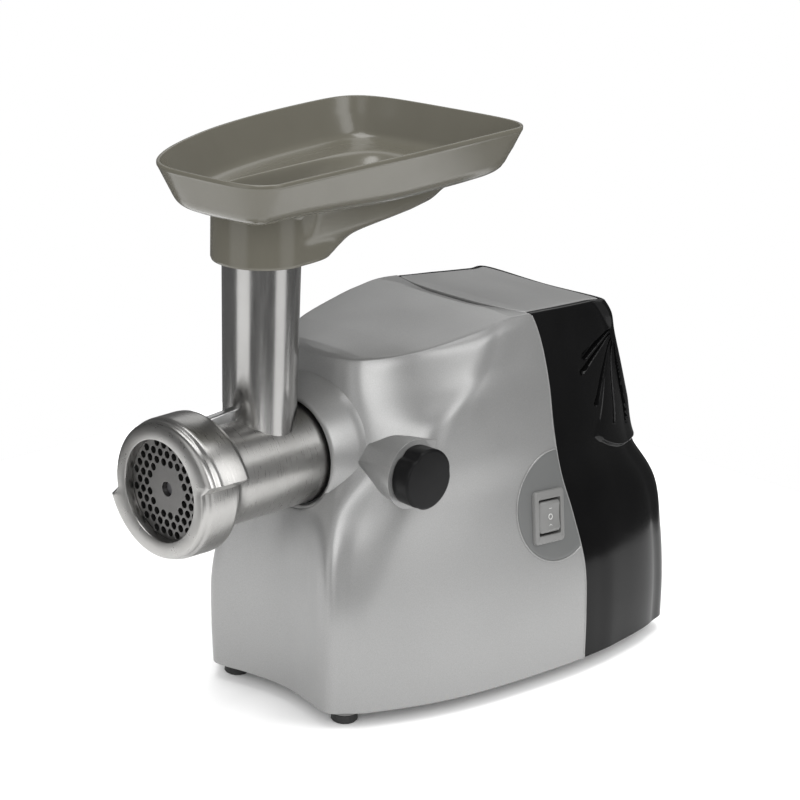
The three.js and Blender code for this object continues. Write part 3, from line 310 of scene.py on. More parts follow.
def blur_round(loop, axis=0):
    """One smoothing pass round a closed line."""
    return 0.25 * np.roll(loop, 1, axis) + 0.5 * loop + 0.25 * np.roll(loop, -1, axis)


# ---- housing skin
# Ribs of the half housing from front centre to rear centre, one row per level, bottom to top.
LEVELS = [
    (-136.3, (0, 88), (24, 85), (45.5, 81), (54, 89), (62, 100), (77.2, 138), (86, 182), (91.2, 245),
     (88.9, 280), (82.8, 315), (68.6, 335), (0, 336)),
    (-110, (0, 88), (24, 84.5), (46, 79.5), (54, 88), (62, 101.5), (76.5, 138), (85.5, 184), (90, 246),
     (88.4, 281), (82.8, 315), (68.4, 334.6), (0, 336)),
    (-80, (0, 88.5), (24, 85), (46, 79.5), (54, 89), (62, 105), (74.5, 140), (82, 186), (86.4, 247),
     (85.8, 281), (81, 313.5), (66.5, 333), (0, 336)),
    (-50, (0, 91), (22, 87.5), (42, 83), (51, 94), (63, 113), (71.5, 142), (77.5, 188), (80, 242),
     (79.6, 281), (75.4, 311.6), (60.5, 332.5), (0, 335.5)),
    (-25, (0, 96), (20, 92.5), (38, 91), (50, 103), (65, 120), (71, 146), (74, 190), (74.4, 236),
     (70, 278), (62, 304.5), (47, 325.5), (0, 331)),
    (0, (0, 102), (22, 102), (41, 106), (54, 115), (68, 130), (71.5, 150), (72, 192), (70, 233),
     (66, 276), (57.4, 302.6), (45.4, 320.6), (0, 326)),
    (25, (0, 106, 24), (20, 107, 24), (37, 112, 24), (53, 125, 23), (67, 142, 24), (69, 162, 26),
     (67.5, 200, 28), (65, 233, 25), (60, 274, 23), (54.2, 299.2, 22), (45.4, 314.6, 22), (0, 319, 22)),
    (42, (0, 109), (18, 111), (33, 117), (49, 137), (61, 165), (62.2, 186, 44), (61, 210, 46),
     (60, 232, 45), (55, 272), (52, 295, 41), (46.4, 307.2, 41), (0, 312, 41)),
    (55, (0, 110.5, 49.5), (17, 113, 50), (31, 119.5, 51), (47, 142, 54), (57, 179, 58),
     (57.6, 197, 60), (57, 213, 60.5), (56, 230, 58.5), (52, 270, 56), (50.8, 289.5, 54), (48.2, 302.2, 53),
     (0, 307.2, 53)),
    (60, (0, 112, 53), (17, 115, 54), (30, 121, 55), (45, 143, 58), (52, 180, 63), (53, 198, 65.5),
     (53, 211, 67), (53, 228, 66.2), (49.5, 266, 63.1), (47.7, 284, 61.8), (45.4, 298.6, 60.9),
     (0, 300, 59.3)),
]
RIBS = np.array([[(*p, row[0])[:3] if len(p) == 2 else p for p in row[1:]] for row in LEVELS], float)
FLIP = np.array([-1.0, 1.0, 1.0])
WIDE = np.concatenate([RIBS[:, 1:2] * FLIP, RIBS, RIBS[:, -2:-1] * FLIP], axis=1)
REAR_RIB = RIBS.shape[1] - 1
TOP_ROW = RIBS.shape[0] - 1
PARTING_RIB = 7


def weights(t):
    """Shares of the four nearest points on a smooth curve through all of them."""
    t2, t3 = t * t, t * t * t
    return 0.5 * np.stack([-t + 2 * t2 - t3, 2 - 5 * t2 + 3 * t3, t + 4 * t2 - 3 * t3, -t2 + t3], -1)


def skin(across, up):
    """Surface points for rib position 0..11 (front to rear) and row position 0..9 (bottom to top)."""
    across, up = np.broadcast_arrays(np.asarray(across, float), np.asarray(up, float))
    column = np.clip(np.floor(across), 0, REAR_RIB - 1).astype(int)
    row = np.clip(np.floor(up), 0, TOP_ROW - 1).astype(int)
    wc = weights(across - column)
    wr = weights(up - row)
    total = np.zeros(across.shape + (3,))
    for i in range(4):
        r = np.clip(row + i - 1, 0, TOP_ROW)
        for j in range(4):
            total += (wr[..., i] * wc[..., j])[..., None] * WIDE[r, column + j]
    return total


def skin_normal(across, up):
    """Outward direction of the skin, from points a small step either side."""
    step = 0.02
    a0 = np.clip(across - step, 0, REAR_RIB)
    a1 = np.clip(across + step, 0, REAR_RIB)
    u0 = np.clip(up - step, 0, TOP_ROW)
    u1 = np.clip(up + step, 0, TOP_ROW)
    normal = np.cross(skin(a1, up) - skin(a0, up), skin(across, u1) - skin(across, u0))
    return normal / np.maximum(np.linalg.norm(normal, axis=-1, keepdims=True), 1e-9)


# Height of the top along the machine: a crowned leaf in front, a flatter panel behind the seam.
EDGE_Y = [100, 112, 115, 121, 143, 180, 198, 211, 228, 266, 284, 298, 310]
EDGE_Z = [50, 53, 54, 55, 58, 63, 65.5, 67, 66.2, 63.1, 61.8, 60.9, 60]
EDGE_X = [1, 1, 17, 30, 45, 52, 53, 53, 53, 49.5, 47.7, 45.4, 44]
CROWN = 0.045
REAR_CROWN = 0.25
CROWN_END_Y, CROWN_FADE = 300.0, 70.0
SHOULDER_Y, SHOULDER_SHARE = (228, 290), (0.5, 0.88)
REAR_DIP = 0.8
DIP_FROM_Y, DIP_TO_Y = 255, 299
# The leaf's rear edge and the seam behind it both sweep back toward the sides.
TOP_HALF_WIDTH = 53.0
LEAF_REAR_Y, LEAF_SWEEP, LEAF_POWER = 206.5, 10.5, 2.5
SEAM_Y, SEAM_SWEEP, SEAM_POWER = 217.8, 10.2, 3.0
LEAF_CORNER_Y = LEAF_REAR_Y + LEAF_SWEEP
SEAM_CORNER_Y = SEAM_Y + SEAM_SWEEP
BAND_DROP = 1.6


def leaf_rear(x):
    """Rear edge of the leaf in plan."""
    return LEAF_REAR_Y + LEAF_SWEEP * (np.abs(x) / TOP_HALF_WIDTH) ** LEAF_POWER


def seam_line(x):
    """Seam between the front shell and the top panel in plan."""
    return SEAM_Y + SEAM_SWEEP * (np.abs(x) / TOP_HALF_WIDTH) ** SEAM_POWER


def band_share(x, y):
    """0 at the leaf's rear edge, 1 at the seam."""
    return np.clip((y - leaf_rear(x)) / (seam_line(x) - leaf_rear(x)), 0, 1)


def top_height(x, y):
    """Height of the top over a place in plan."""
    half = np.maximum(np.interp(y, EDGE_Y, EDGE_X), 1.0)
    share = np.clip(np.abs(x) / half, 0, 1)
    band = band_share(x, y)
    fade = np.clip((CROWN_END_Y - y) / CROWN_FADE, 0, 1)
    crown = CROWN * half * (1 - (1 - REAR_CROWN) * band) * fade
    shoulder = np.interp(y, SHOULDER_Y, SHOULDER_SHARE)
    rear_form = 1 - np.clip((share - shoulder) / (1 - shoulder), 0, 1) ** 1.6
    form = (1 - share ** 2) * (1 - band) + rear_form * band
    dip = REAR_DIP * (1 - share ** 2) * smoothstep(DIP_FROM_Y, DIP_TO_Y, y)
    return np.interp(y, EDGE_Y, EDGE_Z) + crown * form - dip


def band_drop(x, y):
    """The strip between the leaf and the seam sinks toward the seam, most of all in the middle."""
    return BAND_DROP * band_share(x, y) * smoothstep(-44, -14, -np.abs(x))


def mirrored_strip(half):
    """Joins a half grid (columns front to rear, x >= 0) with its mirror image."""
    left = half[:, ::-1] * FLIP
    return np.concatenate([left[:, :-1], half], axis=1)


def bezier(a, b, c, steps):
    """Rows of points along a curve from a to c, pulled toward b."""
    t = np.linspace(0, 1, steps)[:, None, None]
    return (1 - t) ** 2 * a + 2 * t * (1 - t) * b + t ** 2 * c


def drive_place(co):
    """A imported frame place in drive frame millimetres."""
    return co.x / MM, co.y / MM + HALF_LENGTH, co.z / MM - AXIS_HEIGHT


def delete_faces(obj, test):
    """Opens a hole: drops the faces whose centre, in drive frame millimetres, passes the test."""
    with editing(obj.data) as work:
        gone = [face for face in work.faces if test(drive_place(face.calc_center_median()))]
        bmesh.ops.delete(work, geom=gone, context="FACES")


# -- front shell
WALL = 2.6
EDGE_ROUND = 2.6
COLLAR_BORE = 31.7
COLLAR_REACH_Y = 118.0
LOCK_Y = 120.0
LOCK_BORE = 10.5
SWEEP_FROM_Y, SWEEP_FULL_Y = 150, 200
LEAF_POLE_Y = 160.0
PANEL_Y, PANEL_Z, PANEL_RADIUS = 228.4, -41.6, 31.1
SWITCH_CENTRE = (78.4, 220.6, -46.3)
SWITCH_TURN = Matrix.Rotation(-0.085, 4, "X") @ Matrix.Rotation(-0.17, 4, "Y")
SWITCH_HALF_Y, SWITCH_HALF_Z = 11.5, 14.2
STRAIGHT_UP = SWITCH_TURN.inverted()


def in_switch(p):
    """Whether a point of the right side lies in the opening for the switch."""
    q = STRAIGHT_UP @ (Vector(p) - Vector(SWITCH_CENTRE))
    return p[0] > 0 and abs(q.y) < SWITCH_HALF_Y and abs(q.z) < SWITCH_HALF_Z


def leaf_paths(edge, shares):
    """Rows of plan points from the top edge inwards to the middle line, curved like the seam."""
    y = edge[:, 1]
    rear = y >= LEAF_CORNER_Y
    gap = np.clip((y - LEAF_CORNER_Y) / (SEAM_CORNER_Y - LEAF_CORNER_Y), 0, 1)
    swept = y - LEAF_SWEEP * smoothstep(SWEEP_FROM_Y, LEAF_CORNER_Y, y)
    middle = np.where(rear, LEAF_REAR_Y + (SEAM_Y - LEAF_REAR_Y) * gap, swept)
    middle = np.maximum(middle, LEAF_POLE_Y)
    power = np.where(rear, LEAF_POWER + (SEAM_POWER - LEAF_POWER) * gap,
                     1 + (LEAF_POWER - 1) * smoothstep(SWEEP_FROM_Y, SWEEP_FULL_Y, y))
    rows = []
    for share in shares:
        x = edge[:, 0] * (1 - share)
        along = middle + (y - middle) * (1 - share) ** power
        rows.append(np.stack([x, along, top_height(x, along) - band_drop(x, along)], -1))
    return np.array(rows)


def round_hole(obj, radius):
    """Moves the open edge round the barrel onto a true circle."""
    with editing(obj.data) as work:
        for vertex in work.verts:
            x, y, z = drive_place(vertex.co)
            reach = math.hypot(x, z)
            if vertex.is_boundary and reach < radius + 4 and y < COLLAR_REACH_Y + 2:
                vertex.co.x = x / reach * radius * MM
                vertex.co.z = (z / reach * radius + AXIS_HEIGHT) * MM


def front_shell():
    """Side skin, rounded top edge and leaf as one grid, mirrored, with its openings and wall."""
    across = spans(0, (6.42, 120), (PARTING_RIB - 0.014, 24))
    ups = np.linspace(0, TOP_ROW - 0.22, 130)
    side = skin(across[None, :], ups[:, None])
    corner = skin(across, np.full_like(across, TOP_ROW))
    reach = np.hypot(corner[:, 0], np.maximum(LEAF_POLE_Y - corner[:, 1], 0))
    share = np.clip(EDGE_ROUND / np.maximum(reach, 3.0), 0, 0.9)
    start = leaf_paths(corner, [share])[0]
    rounding = bezier(side[-1][None], corner[None], start[None], 9)[1:]
    cap = leaf_paths(corner, [share + (1 - share) * s for s in np.linspace(0, 1, 56)[1:]])
    grid = np.concatenate([side, rounding, cap], axis=0)
    obj = grid_piece("front_shell_skin", mirrored_strip(grid), "silver_paint", "housing", 50.0,
                     wrap_columns=False)
    delete_faces(obj, lambda p: math.hypot(p[0], p[2]) < COLLAR_BORE and p[1] < COLLAR_REACH_Y)
    round_hole(obj, COLLAR_BORE + 0.2)
    delete_faces(obj, in_switch)
    # bore for the shaft of the knob and the lock pin, hidden inside the pod
    delete_faces(obj, lambda p: p[0] > 25 and math.hypot(p[1] - LOCK_Y, p[2]) < LOCK_BORE)
    wall = obj.modifiers.new("wall", "SOLIDIFY")
    wall.thickness = WALL * MM
    wall.offset = -1
    wall.use_rim = True
    soften(obj, 0.35, 2, 55)
    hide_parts("front_shell")


front_shell()

turned("front_collar",
       [(31.6, 124), (31.6, 98.4), (30.1, 97.6), (30.1, 95.8), (31.2, 95.0), (33.4, 95.4), (38, 101.5),
        (42.8, 108.5), (44.3, 113.5), (44.3, 124)],
       [0, 0.3, 0.3, 0.5, 0.8, 1.2, 6, 3, 2, 0], "silver_paint", "housing", 128)


def hull_piece(name, points, material, body, bevel):
    """Smallest convex solid round the points, with its edges softened."""
    data = bpy.data.meshes.new(name)
    with editing(data) as work:
        for p in to_frame(points):
            work.verts.new(p)
        bmesh.ops.convex_hull(work, input=work.verts)
        loose = [v for v in work.verts if not v.link_faces]
        bmesh.ops.delete(work, geom=loose, context="VERTS")
        bmesh.ops.dissolve_limit(work, angle_limit=math.radians(2), verts=work.verts, edges=work.edges)
    soften(finish_object(name, data, material, body, 20.0), bevel, 3, 25)


POD_FACE, POD_RADIUS = 69.0, 19.4
POD_ROOT_X = 48
# Corners that the pod runs out to on the shell: ahead of the knob, and behind it at the top.
POD_CORNERS = [(36, 107, 3), (POD_FACE - 0.4, 140, 15), (50, 131, 16), (40, 112, 12)]


def lock_pod():
    """Pod under the lock knob: a round face that runs back into the shell."""
    points = list(POD_CORNERS)
    for angle in turns(72):
        c, sn = math.cos(angle), math.sin(angle)
        points.append((POD_FACE, LOCK_Y + POD_RADIUS * c, POD_RADIUS * sn))
        points.append((POD_ROOT_X, LOCK_Y + 3 + 15 * c, 17 * sn))
    hull_piece("lock_pod", points, "silver_paint", "housing", 0.5)


lock_pod()

# -- top panel behind the leaf
SEAM_GAP = 0.35
TOP_EDGE_ROUND = 3.0
# Rounded edge of the panel: share of the way in to its spine, and drop below the top.
PANEL_EDGE = [(0, 2.2), (0, 0.7), (0.004, 0.32), (0.012, 0.1), (0.025, 0)]


def plan_inset(points, amount):
    """Moves a half outline, running front to rear and ending on the middle line, inwards in plan."""
    whole = np.vstack([points, points[-2::-1] * FLIP])
    along = np.gradient(whole[:, :2], axis=0)
    along /= np.maximum(np.linalg.norm(along, axis=1, keepdims=True), 1e-9)
    moved = whole[:, :2] + np.stack([-along[:, 1], along[:, 0]], -1) * amount
    moved = moved[: len(points)]
    moved[-1, 0] = 0
    return moved


def top_panel():
    """Silver panel between the seam and the rear, drawn in rings that shrink to a spine."""
    edge = skin(np.linspace(PARTING_RIB, REAR_RIB, 140), np.full(140, TOP_ROW))
    half = plan_inset(edge, TOP_EDGE_ROUND + 0.5)
    half = half[half[:, 1] > seam_line(half[:, 0]) + SEAM_GAP]
    left = half[::-1][1:] * FLIP[:2]
    x = np.linspace(left[-1, 0], half[0, 0], 90)[1:-1]
    front = np.stack([x, seam_line(x) + SEAM_GAP], -1)
    outline = np.vstack([half, left, front])
    spine = np.stack([np.zeros(len(outline)), np.clip(outline[:, 1], 246, 270)], -1)
    rows = []
    for share, drop in PANEL_EDGE + [(share, 0) for share in np.linspace(0.05, 1, 34)]:
        plan = outline + (spine - outline) * share
        rows.append(np.column_stack([plan, top_height(*plan.T) - drop]))
    obj = grid_piece("top_panel_skin", rows, "silver_paint", "housing", 50.0)
    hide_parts("top_panel")


top_panel()

# -- rear cover with its fan-shaped vents
FAN_APEX = np.array([47.0, 303.0, 42.0])
FAN_SIDE = np.array([-0.238, 0.971])
# Each slit runs from near the apex to its round end, (side, down) from the apex, with a half width.
SLITS = [((-4.6, -0.6), (-35.8, 9.1), 2.1), ((-4.2, 1.9), (-40.7, 17.1), 1.5),
         ((-3.5, 4.8), (-31.9, 37.4), 1.7), ((-2.6, 6.2), (-17.0, 52.3), 1.8),
         ((-0.6, 7.6), (3.6, 57.5), 2.5)]
SLIT_DEPTH, SLIT_START = 3.8, 0.18
# The raised fan: middle angle and half spread in degrees, height, and reach of its lower lip.
FAN_MIDDLE, FAN_HALF = -4.0, 30.0
FAN_HEIGHT, FAN_REACH, FAN_SLANT = 2.8, 68.0, 0.1
WAIST_DEPTH, WAIST_WIDTH = 0.5, 6.0
GLAND_Y, GLAND_Z, GLAND_HOLE = 330, -112, 7.5


def vents(points):
    """Outward offset of the rear skin: a raised half cone under each top corner, slit by vents."""
    out = np.abs(points[..., 0]) - FAN_APEX[0]
    side = out * FAN_SIDE[0] + (points[..., 1] - FAN_APEX[1]) * FAN_SIDE[1]
    down = FAN_APEX[2] - points[..., 2]
    reach = np.hypot(side, down)
    angle = np.degrees(np.arctan2(side, down))
    spread = np.clip(1 - ((angle - FAN_MIDDLE) / FAN_HALF) ** 2, 0, 1)
    arc = FAN_REACH + FAN_SLANT * angle
    lip = 1 - smoothstep(arc - 0.3, arc + 0.7, reach)
    cone = FAN_HEIGHT * smoothstep(0, FAN_REACH - 2, reach) * np.sqrt(spread) * lip
    below = (reach - arc - WAIST_WIDTH) / WAIST_WIDTH
    waist = -WAIST_DEPTH * np.exp(-below ** 2) * spread * (1 - lip)
    cut = np.zeros_like(reach)
    for start, stop, width in SLITS:
        a, b = np.array(start), np.array(stop)
        length = np.linalg.norm(b - a)
        unit = (b - a) / length
        along = (side - a[0]) * unit[0] + (down - a[1]) * unit[1]
        off = np.abs((side - a[0]) * unit[1] - (down - a[1]) * unit[0])
        share = np.clip(along / length, 0, 1)
        half = width * (SLIT_START + (1 - SLIT_START) * share ** 0.8)
        round_end = np.clip((along - (length - width)) / width, 0, 1)
        half = half * np.sqrt(np.clip(1 - round_end ** 2, 0, 1))
        inside = (1 - smoothstep(-0.25, 0.35, off - half)) * ((along > 0) & (along < length))
        cut = np.maximum(cut, inside)
    return cone + waist - SLIT_DEPTH * cut


def rear_cover():
    """Black cover from the parting line round the rear, with a finer grid where the vents are."""
    across = spans(PARTING_RIB + 0.016, (8.0, 26), (10.3, 230), (REAR_RIB, 36))
    ups = spans(0, (3.3, 60), (7.8, 290), (TOP_ROW - 0.2, 24))
    points = skin(across[None, :], ups[:, None])
    normal = skin_normal(across[None, :], ups[:, None])
    recess = 0.6 * (1 - smoothstep(PARTING_RIB + 0.25, PARTING_RIB + 0.7, across))
    points = points + normal * (vents(points) - recess[None, :])[..., None]
    corner = skin(across, np.full_like(across, TOP_ROW)) - np.array([0.5, 0, 0.3]) * recess[:, None]
    plan = plan_inset(corner, TOP_EDGE_ROUND)
    start = np.column_stack([plan, top_height(*plan.T) - 0.1])
    rounding = bezier(points[-1][None], corner[None], start[None], 9)[1:]
    inner = np.column_stack([plan_inset(corner, TOP_EDGE_ROUND + 0.15), start[:, 2] - 2.4])
    grid = np.concatenate([points, rounding, inner[None]], axis=0)
    grid[:, -1, 0] = 0
    full = np.concatenate([grid, grid[:, -2::-1] * FLIP], axis=1)
    obj = grid_piece("rear_cover_skin", full, "black_gloss", "housing", 60.0, wrap_columns=False)
    delete_faces(obj, lambda p: p[1] > GLAND_Y and math.hypot(p[0], p[2] - GLAND_Z) < GLAND_HOLE)
    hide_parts("rear_cover")


rear_cover()


# -- switch panel
SIDE_RIBS, SIDE_RIB_Y = [5, 6, 7, 8], [138, 186, 247, 284]
PARTING_LINE = skin(np.full(200, PARTING_RIB), np.linspace(0, TOP_ROW, 200))
PARTING_GAP = 0.9
BEAD_SIDES = 10
# The panel's rings shrink to a pole ahead of its centre, clear of the switch.
PANEL_POLE = np.array([PANEL_Y - 12, PANEL_Z])
PANEL_LIFT = 0.45
PANEL_RIM = [(0.985, 0.42), (1.0, 0.15), (1.0, -1.0)]


def find_skin(y, z):
    """Rib and row position of the skin above each (y, z) of the side, by Newton steps."""
    across = np.clip(np.interp(y, SIDE_RIB_Y, SIDE_RIBS), 4, 9)
    up = np.clip(np.interp(z, RIBS[:, PARTING_RIB, 2], np.arange(TOP_ROW + 1)), 0, TOP_ROW)
    step = 1e-3
    for _ in range(12):
        here = skin(across, up)
        da = (skin(across + step, up) - here) / step
        du = (skin(across, up + step) - here) / step
        ry, rz = y - here[..., 1], z - here[..., 2]
        det = da[..., 1] * du[..., 2] - da[..., 2] * du[..., 1]
        across = across + np.clip((ry * du[..., 2] - rz * du[..., 1]) / det, -0.5, 0.5)
        up = up + np.clip((da[..., 1] * rz - da[..., 2] * ry) / det, -0.5, 0.5)
    return across, up


def panel_outline(radius):
    """Circle round the panel's centre, cut off by the parting line; found by halving."""
    angle = np.linspace(0, 2 * math.pi, 240, endpoint=False)
    ray = np.stack([np.cos(angle), np.sin(angle)], -1)
    low, high = np.zeros(len(angle)), np.full(len(angle), float(radius))
    for _ in range(24):
        middle = 0.5 * (low + high)
        y = PANEL_Y + middle * ray[:, 0]
        z = PANEL_Z + middle * ray[:, 1]
        inside = y < np.interp(z, PARTING_LINE[:, 2], PARTING_LINE[:, 1]) - PARTING_GAP
        low, high = np.where(inside, middle, low), np.where(inside, high, middle)
    return np.array([PANEL_Y, PANEL_Z]) + low[:, None] * ray


def bead(name, line, out, radius):
    """Thin round silver bead along a line."""
    grid_piece(name, rod(line, out, radius, BEAD_SIDES), "silver_paint", "housing", 60.0, True, False)


def parting_beads():
    """Rolled edge of the silver shell where it meets the black cover."""
    up = np.linspace(0, TOP_ROW - 0.25, 120)
    across = np.full(len(up), PARTING_RIB - 0.016)
    out = skin_normal(across, up)
    line = skin(across, up) - out * 0.2
    bead("parting_bead_right", line, out, 0.6)
    bead("parting_bead_left", line * FLIP, out * FLIP, 0.6)


parting_beads()


def switch_panel():
    """Grey panel lying on the skin, open for the switch, with a light bead round its curved edge."""
    outline = panel_outline(PANEL_RADIUS)
    rows = []
    for share, lift in [(share, PANEL_LIFT) for share in np.linspace(0, 0.93, 40)] + PANEL_RIM:
        place = PANEL_POLE + (outline - PANEL_POLE) * share
        across, up = find_skin(*place.T)
        rows.append(skin(across, up) + skin_normal(across, up) * lift)
    obj = grid_piece("switch_panel_skin", rows, "grey_panel", "housing", 50.0)
    delete_faces(obj, in_switch)
    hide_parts("switch_panel")
    arc = panel_outline(PANEL_RADIUS + 0.5)
    keep = np.hypot(arc[:, 0] - PANEL_Y, arc[:, 1] - PANEL_Z) > PANEL_RADIUS + 0.3
    start = int(np.argmax(keep & ~np.roll(keep, 1)))
    arc = np.roll(arc, -start, axis=0)[: int(keep.sum())]
    across, up = find_skin(*arc.T)
    out = skin_normal(across, up)
    bead("panel_bead", skin(across, up) + out * 0.1, out, 0.5)


switch_panel()

# ---- grinding head
BARREL_RADIUS = 28.5
TUBE_Y = 71.0


def thread(radius, along, angle):
    """Shallow helical ridges on the mouth of the head."""
    zone = (radius > 33.5) & (along > 9) & (along < 23)
    phase = (along / 3.5 - angle / (2 * math.pi)) * 2 * math.pi
    return np.where(zone, -0.35 + 0.35 * np.cos(phase), 0)


# Profile of the barrel as (radius, y): mouth, thread, outside, rear wall with its bore, inside.
THREAD_ROWS = 43
BARREL = [(31.3, 22), (31.3, 7.5), (34.0, 7.5)] + [(34.2, 8 + 0.4 * k) for k in range(THREAD_ROWS)] + [
    (34.2, 25.6), (31.6, 27.5), (29.4, 31), (28.6, 36), (BARREL_RADIUS, 60), (BARREL_RADIUS, 90),
    (BARREL_RADIUS, 126), (24, 126), (24, 121), (10.4, 121), (10.4, 116), (25.6, 116), (25.6, 22),
    (31.3, 22)]
BARREL_ROUNDS = [0, 0.5, 0.4] + [0.05] * THREAD_ROWS + [0.8, 1.5, 3, 3] + [0] * 11
FEED_TUBE = [(17.8, 24), (17.8, 128), (21.3, 128), (20.1, 30), (20.1, 20)]
WEB_HALF = 2.6
# Webs under the barrel's tube, as (y, z) corners.
WEBS = {"head_front_web": [(25, 20), (52, 20), (53, 35), (40, 32), (25, 32.6)],
        "head_rear_web": [(88, 20), (95.5, 20), (95.5, 31), (91, 46), (88, 46)]}

barrel = turned("head_barrel", BARREL, BARREL_ROUNDS, "turned_aluminium", "head", 144,
                wave=thread, sharp=40.0)
turned("head_feed_tube", FEED_TUBE, [0, 0.8, 0.8, 0, 0], "polished_aluminium", "head", 128, "z",
       (0, TUBE_Y, 0))
for web, corners in WEBS.items():
    hull_piece(web, [(x, y, z) for x in (-WEB_HALF, WEB_HALF) for y, z in corners],
               "cast_aluminium", "head", 1.0)
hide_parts("grinder_head")

# -- ring nut
TOOTH_ANGLE = math.radians(17)
TOOTH_RISE, TOOTH_FLARE, TOOTH_CURVE = 9.2, 0.07, 2.2
TOOTH_STEP = 0.03
# Rows of the nut from its thread round the front to the thread again: y, radius, share of the teeth.
NUT_ROWS = [
    (23.2, 34.7, 0), (5.2, 34.7, 0), (5.2, 27.6, 0), (0.7, 27.5, 0), (0.15, 27.8, 0), (0, 28.4, 0),
    (0, 33.6, 0.5), (0.25, 34.4, 0.62), (0.9, 35.1, 0.7), (2.0, 35.5, 0.78), (3.2, 35.5, 0.82),
    (3.9, 35.6, 0.86), (4.5, 35.9, 0.93), (5.6, 36.2, 0.97), (7, 36.3, 1), (21.6, 36.3, 1),
    (23.2, 36.1, 1), (24, 35.5, 1), (24, 35.2, 0), (23.2, 34.7, 0),
]


def nut_ring(y, base, share, count=90):
    """One row of the nut: two halves that each swell from the base radius out to a tooth."""
    out = []
    rise = TOOTH_RISE + TOOTH_FLARE * max(y - 4, 0)
    for half in range(2):
        for travel in np.arange(count) / (count - 1):
            angle = TOOTH_ANGLE - (half + TOOTH_STEP + (1 - TOOTH_STEP) * travel) * math.pi
            radius = base + share * rise * travel ** TOOTH_CURVE
            out.append((radius * math.cos(angle), y, radius * math.sin(angle)))
    return out


nut = grid_piece("ring_nut_body", [nut_ring(*row) for row in NUT_ROWS], "turned_aluminium", "nut", 38.0)
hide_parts("ring_nut")

# -- cutting plate with round holes
PLATE_Y, PLATE_RADIUS, PLATE_HALF, PLATE_EDGE = 9.5, 30.55, 3.75, 0.25
NOTCH_HALF, NOTCH_FLOOR = 1.9, 28.3
PIN_BORE = 4.2
HOLE_PITCH, HOLE_RADIUS = 5.5, 2.25
HOLES_FROM, HOLES_TO = 12.2, 26.2


def add_loop(curve, points):
    """Closed line of a flat filled curve; a line inside another is a hole."""
    spline = curve.splines.new("POLY")
    spline.points.add(len(points) - 1)
    for point, (a, b) in zip(spline.points, points):
        point.co = (a * MM, b * MM, 0, 1)
    spline.use_cyclic_u = True


def circle(radius, u, v, count):
    turn = turns(count)
    return np.column_stack([u + radius * np.cos(turn), v + radius * np.sin(turn)])


def cutting_plate():
    """Disc with a key notch at the top, a bore for the auger's pin and rows of holes."""
    curve = bpy.data.curves.new("plate_curve", "CURVE")
    curve.dimensions = "2D"
    curve.fill_mode = "BOTH"
    curve.extrude = PLATE_HALF * MM
    curve.bevel_depth = PLATE_EDGE * MM
    curve.bevel_resolution = 1
    notch = math.asin(NOTCH_HALF / PLATE_RADIUS)
    turn = math.pi / 2 + np.linspace(notch, 2 * math.pi - notch, 97)
    rim_line = np.column_stack([PLATE_RADIUS * np.cos(turn), PLATE_RADIUS * np.sin(turn)])
    add_loop(curve, np.vstack([[(NOTCH_HALF, NOTCH_FLOOR), (-NOTCH_HALF, NOTCH_FLOOR)], rim_line]))
    for row in range(-6, 7):
        for column in range(-6, 7):
            x = (column + (abs(row) % 2) / 2) * HOLE_PITCH
            z = row * HOLE_PITCH * math.sqrt(0.75)
            if HOLES_FROM < math.hypot(x, z) < HOLES_TO:
                add_loop(curve, circle(HOLE_RADIUS, x, z, 20))
    add_loop(curve, circle(PIN_BORE, 0, 0, 32))
    holder = bpy.data.objects.new("plate_holder", curve)
    bpy.context.scene.collection.objects.link(holder)
    bpy.context.view_layer.update()
    data = bpy.data.meshes.new_from_object(holder.evaluated_get(bpy.context.evaluated_depsgraph_get()))
    bpy.data.objects.remove(holder)
    data.transform(Matrix.Rotation(math.pi / 2, 4, "X"))
    data.transform(Matrix.Translation(Vector(to_frame([(0, PLATE_Y, 0)])[0])))
    data.name = "cutting_plate_disc"
    obj = finish_object("cutting_plate_disc", data, "plate_steel", "plate", 12.0)
    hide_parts("cutting_plate")


cutting_plate()

# ---- feed tray
TRAY_TURN = math.radians(6)
TRAY_RIM = 172.5
RIM_CURVE = [
    (12, -66.5), (34, -66.5), (46.5, -65), (55, -59), (59.4, -48), (60.8, -30), (61.4, 20), (62.4, 70),
    (63.6, 112), (64, 133), (61.4, 146.6), (52.6, 154.6), (34, 157), (0, 156.4), (-34, 154.4),
    (-52, 149.5), (-60.8, 140), (-63.6, 124), (-63.6, 96), (-61.6, 62), (-56.4, 26), (-48.6, -4),
    (-39, -30), (-29, -48.5), (-19, -60), (-6, -65.6),
]


def closed_curve(points, per_span):
    """Smooth closed line through the points."""
    near = np.stack([np.roll(points, 1 - k, 0) for k in range(4)], 1)
    return np.einsum("sk,pkc->psc", weights(np.arange(per_span) / per_span), near).reshape(-1, 2)


def resample(points, count):
    """Evenly spaced points along a closed line."""
    closed = np.vstack([points, points[:1]])
    length = np.concatenate([[0], np.cumsum(np.linalg.norm(np.diff(closed, axis=0), axis=1))])
    at = np.linspace(0, length[-1], count, endpoint=False)
    return np.stack([np.interp(at, length, closed[:, k]) for k in (0, 1)], -1)


rim = resample(closed_curve(RIM_CURVE, 12), 260)
for _ in range(6):
    rim = blur_round(rim)


def inset(points, amount):
    """Convex outline moved inward along rays from its origin, so that tight corners don't cross over."""
    ahead = np.roll(points, -1, 0) - np.roll(points, 1, 0)
    outward = np.stack([ahead[:, 1], -ahead[:, 0]], -1) / np.linalg.norm(ahead, axis=1, keepdims=True)
    rays = points / np.linalg.norm(points, axis=1, keepdims=True)
    facing = rays @ outward.T
    room = (points * outward).sum(1) - amount
    reach = np.where(facing > 0.1, room / np.maximum(facing, 0.1), np.inf).min(axis=1)
    moved = rays * reach[:, None]
    for _ in range(int(amount * 0.6)):
        moved = blur_round(moved)
    return moved


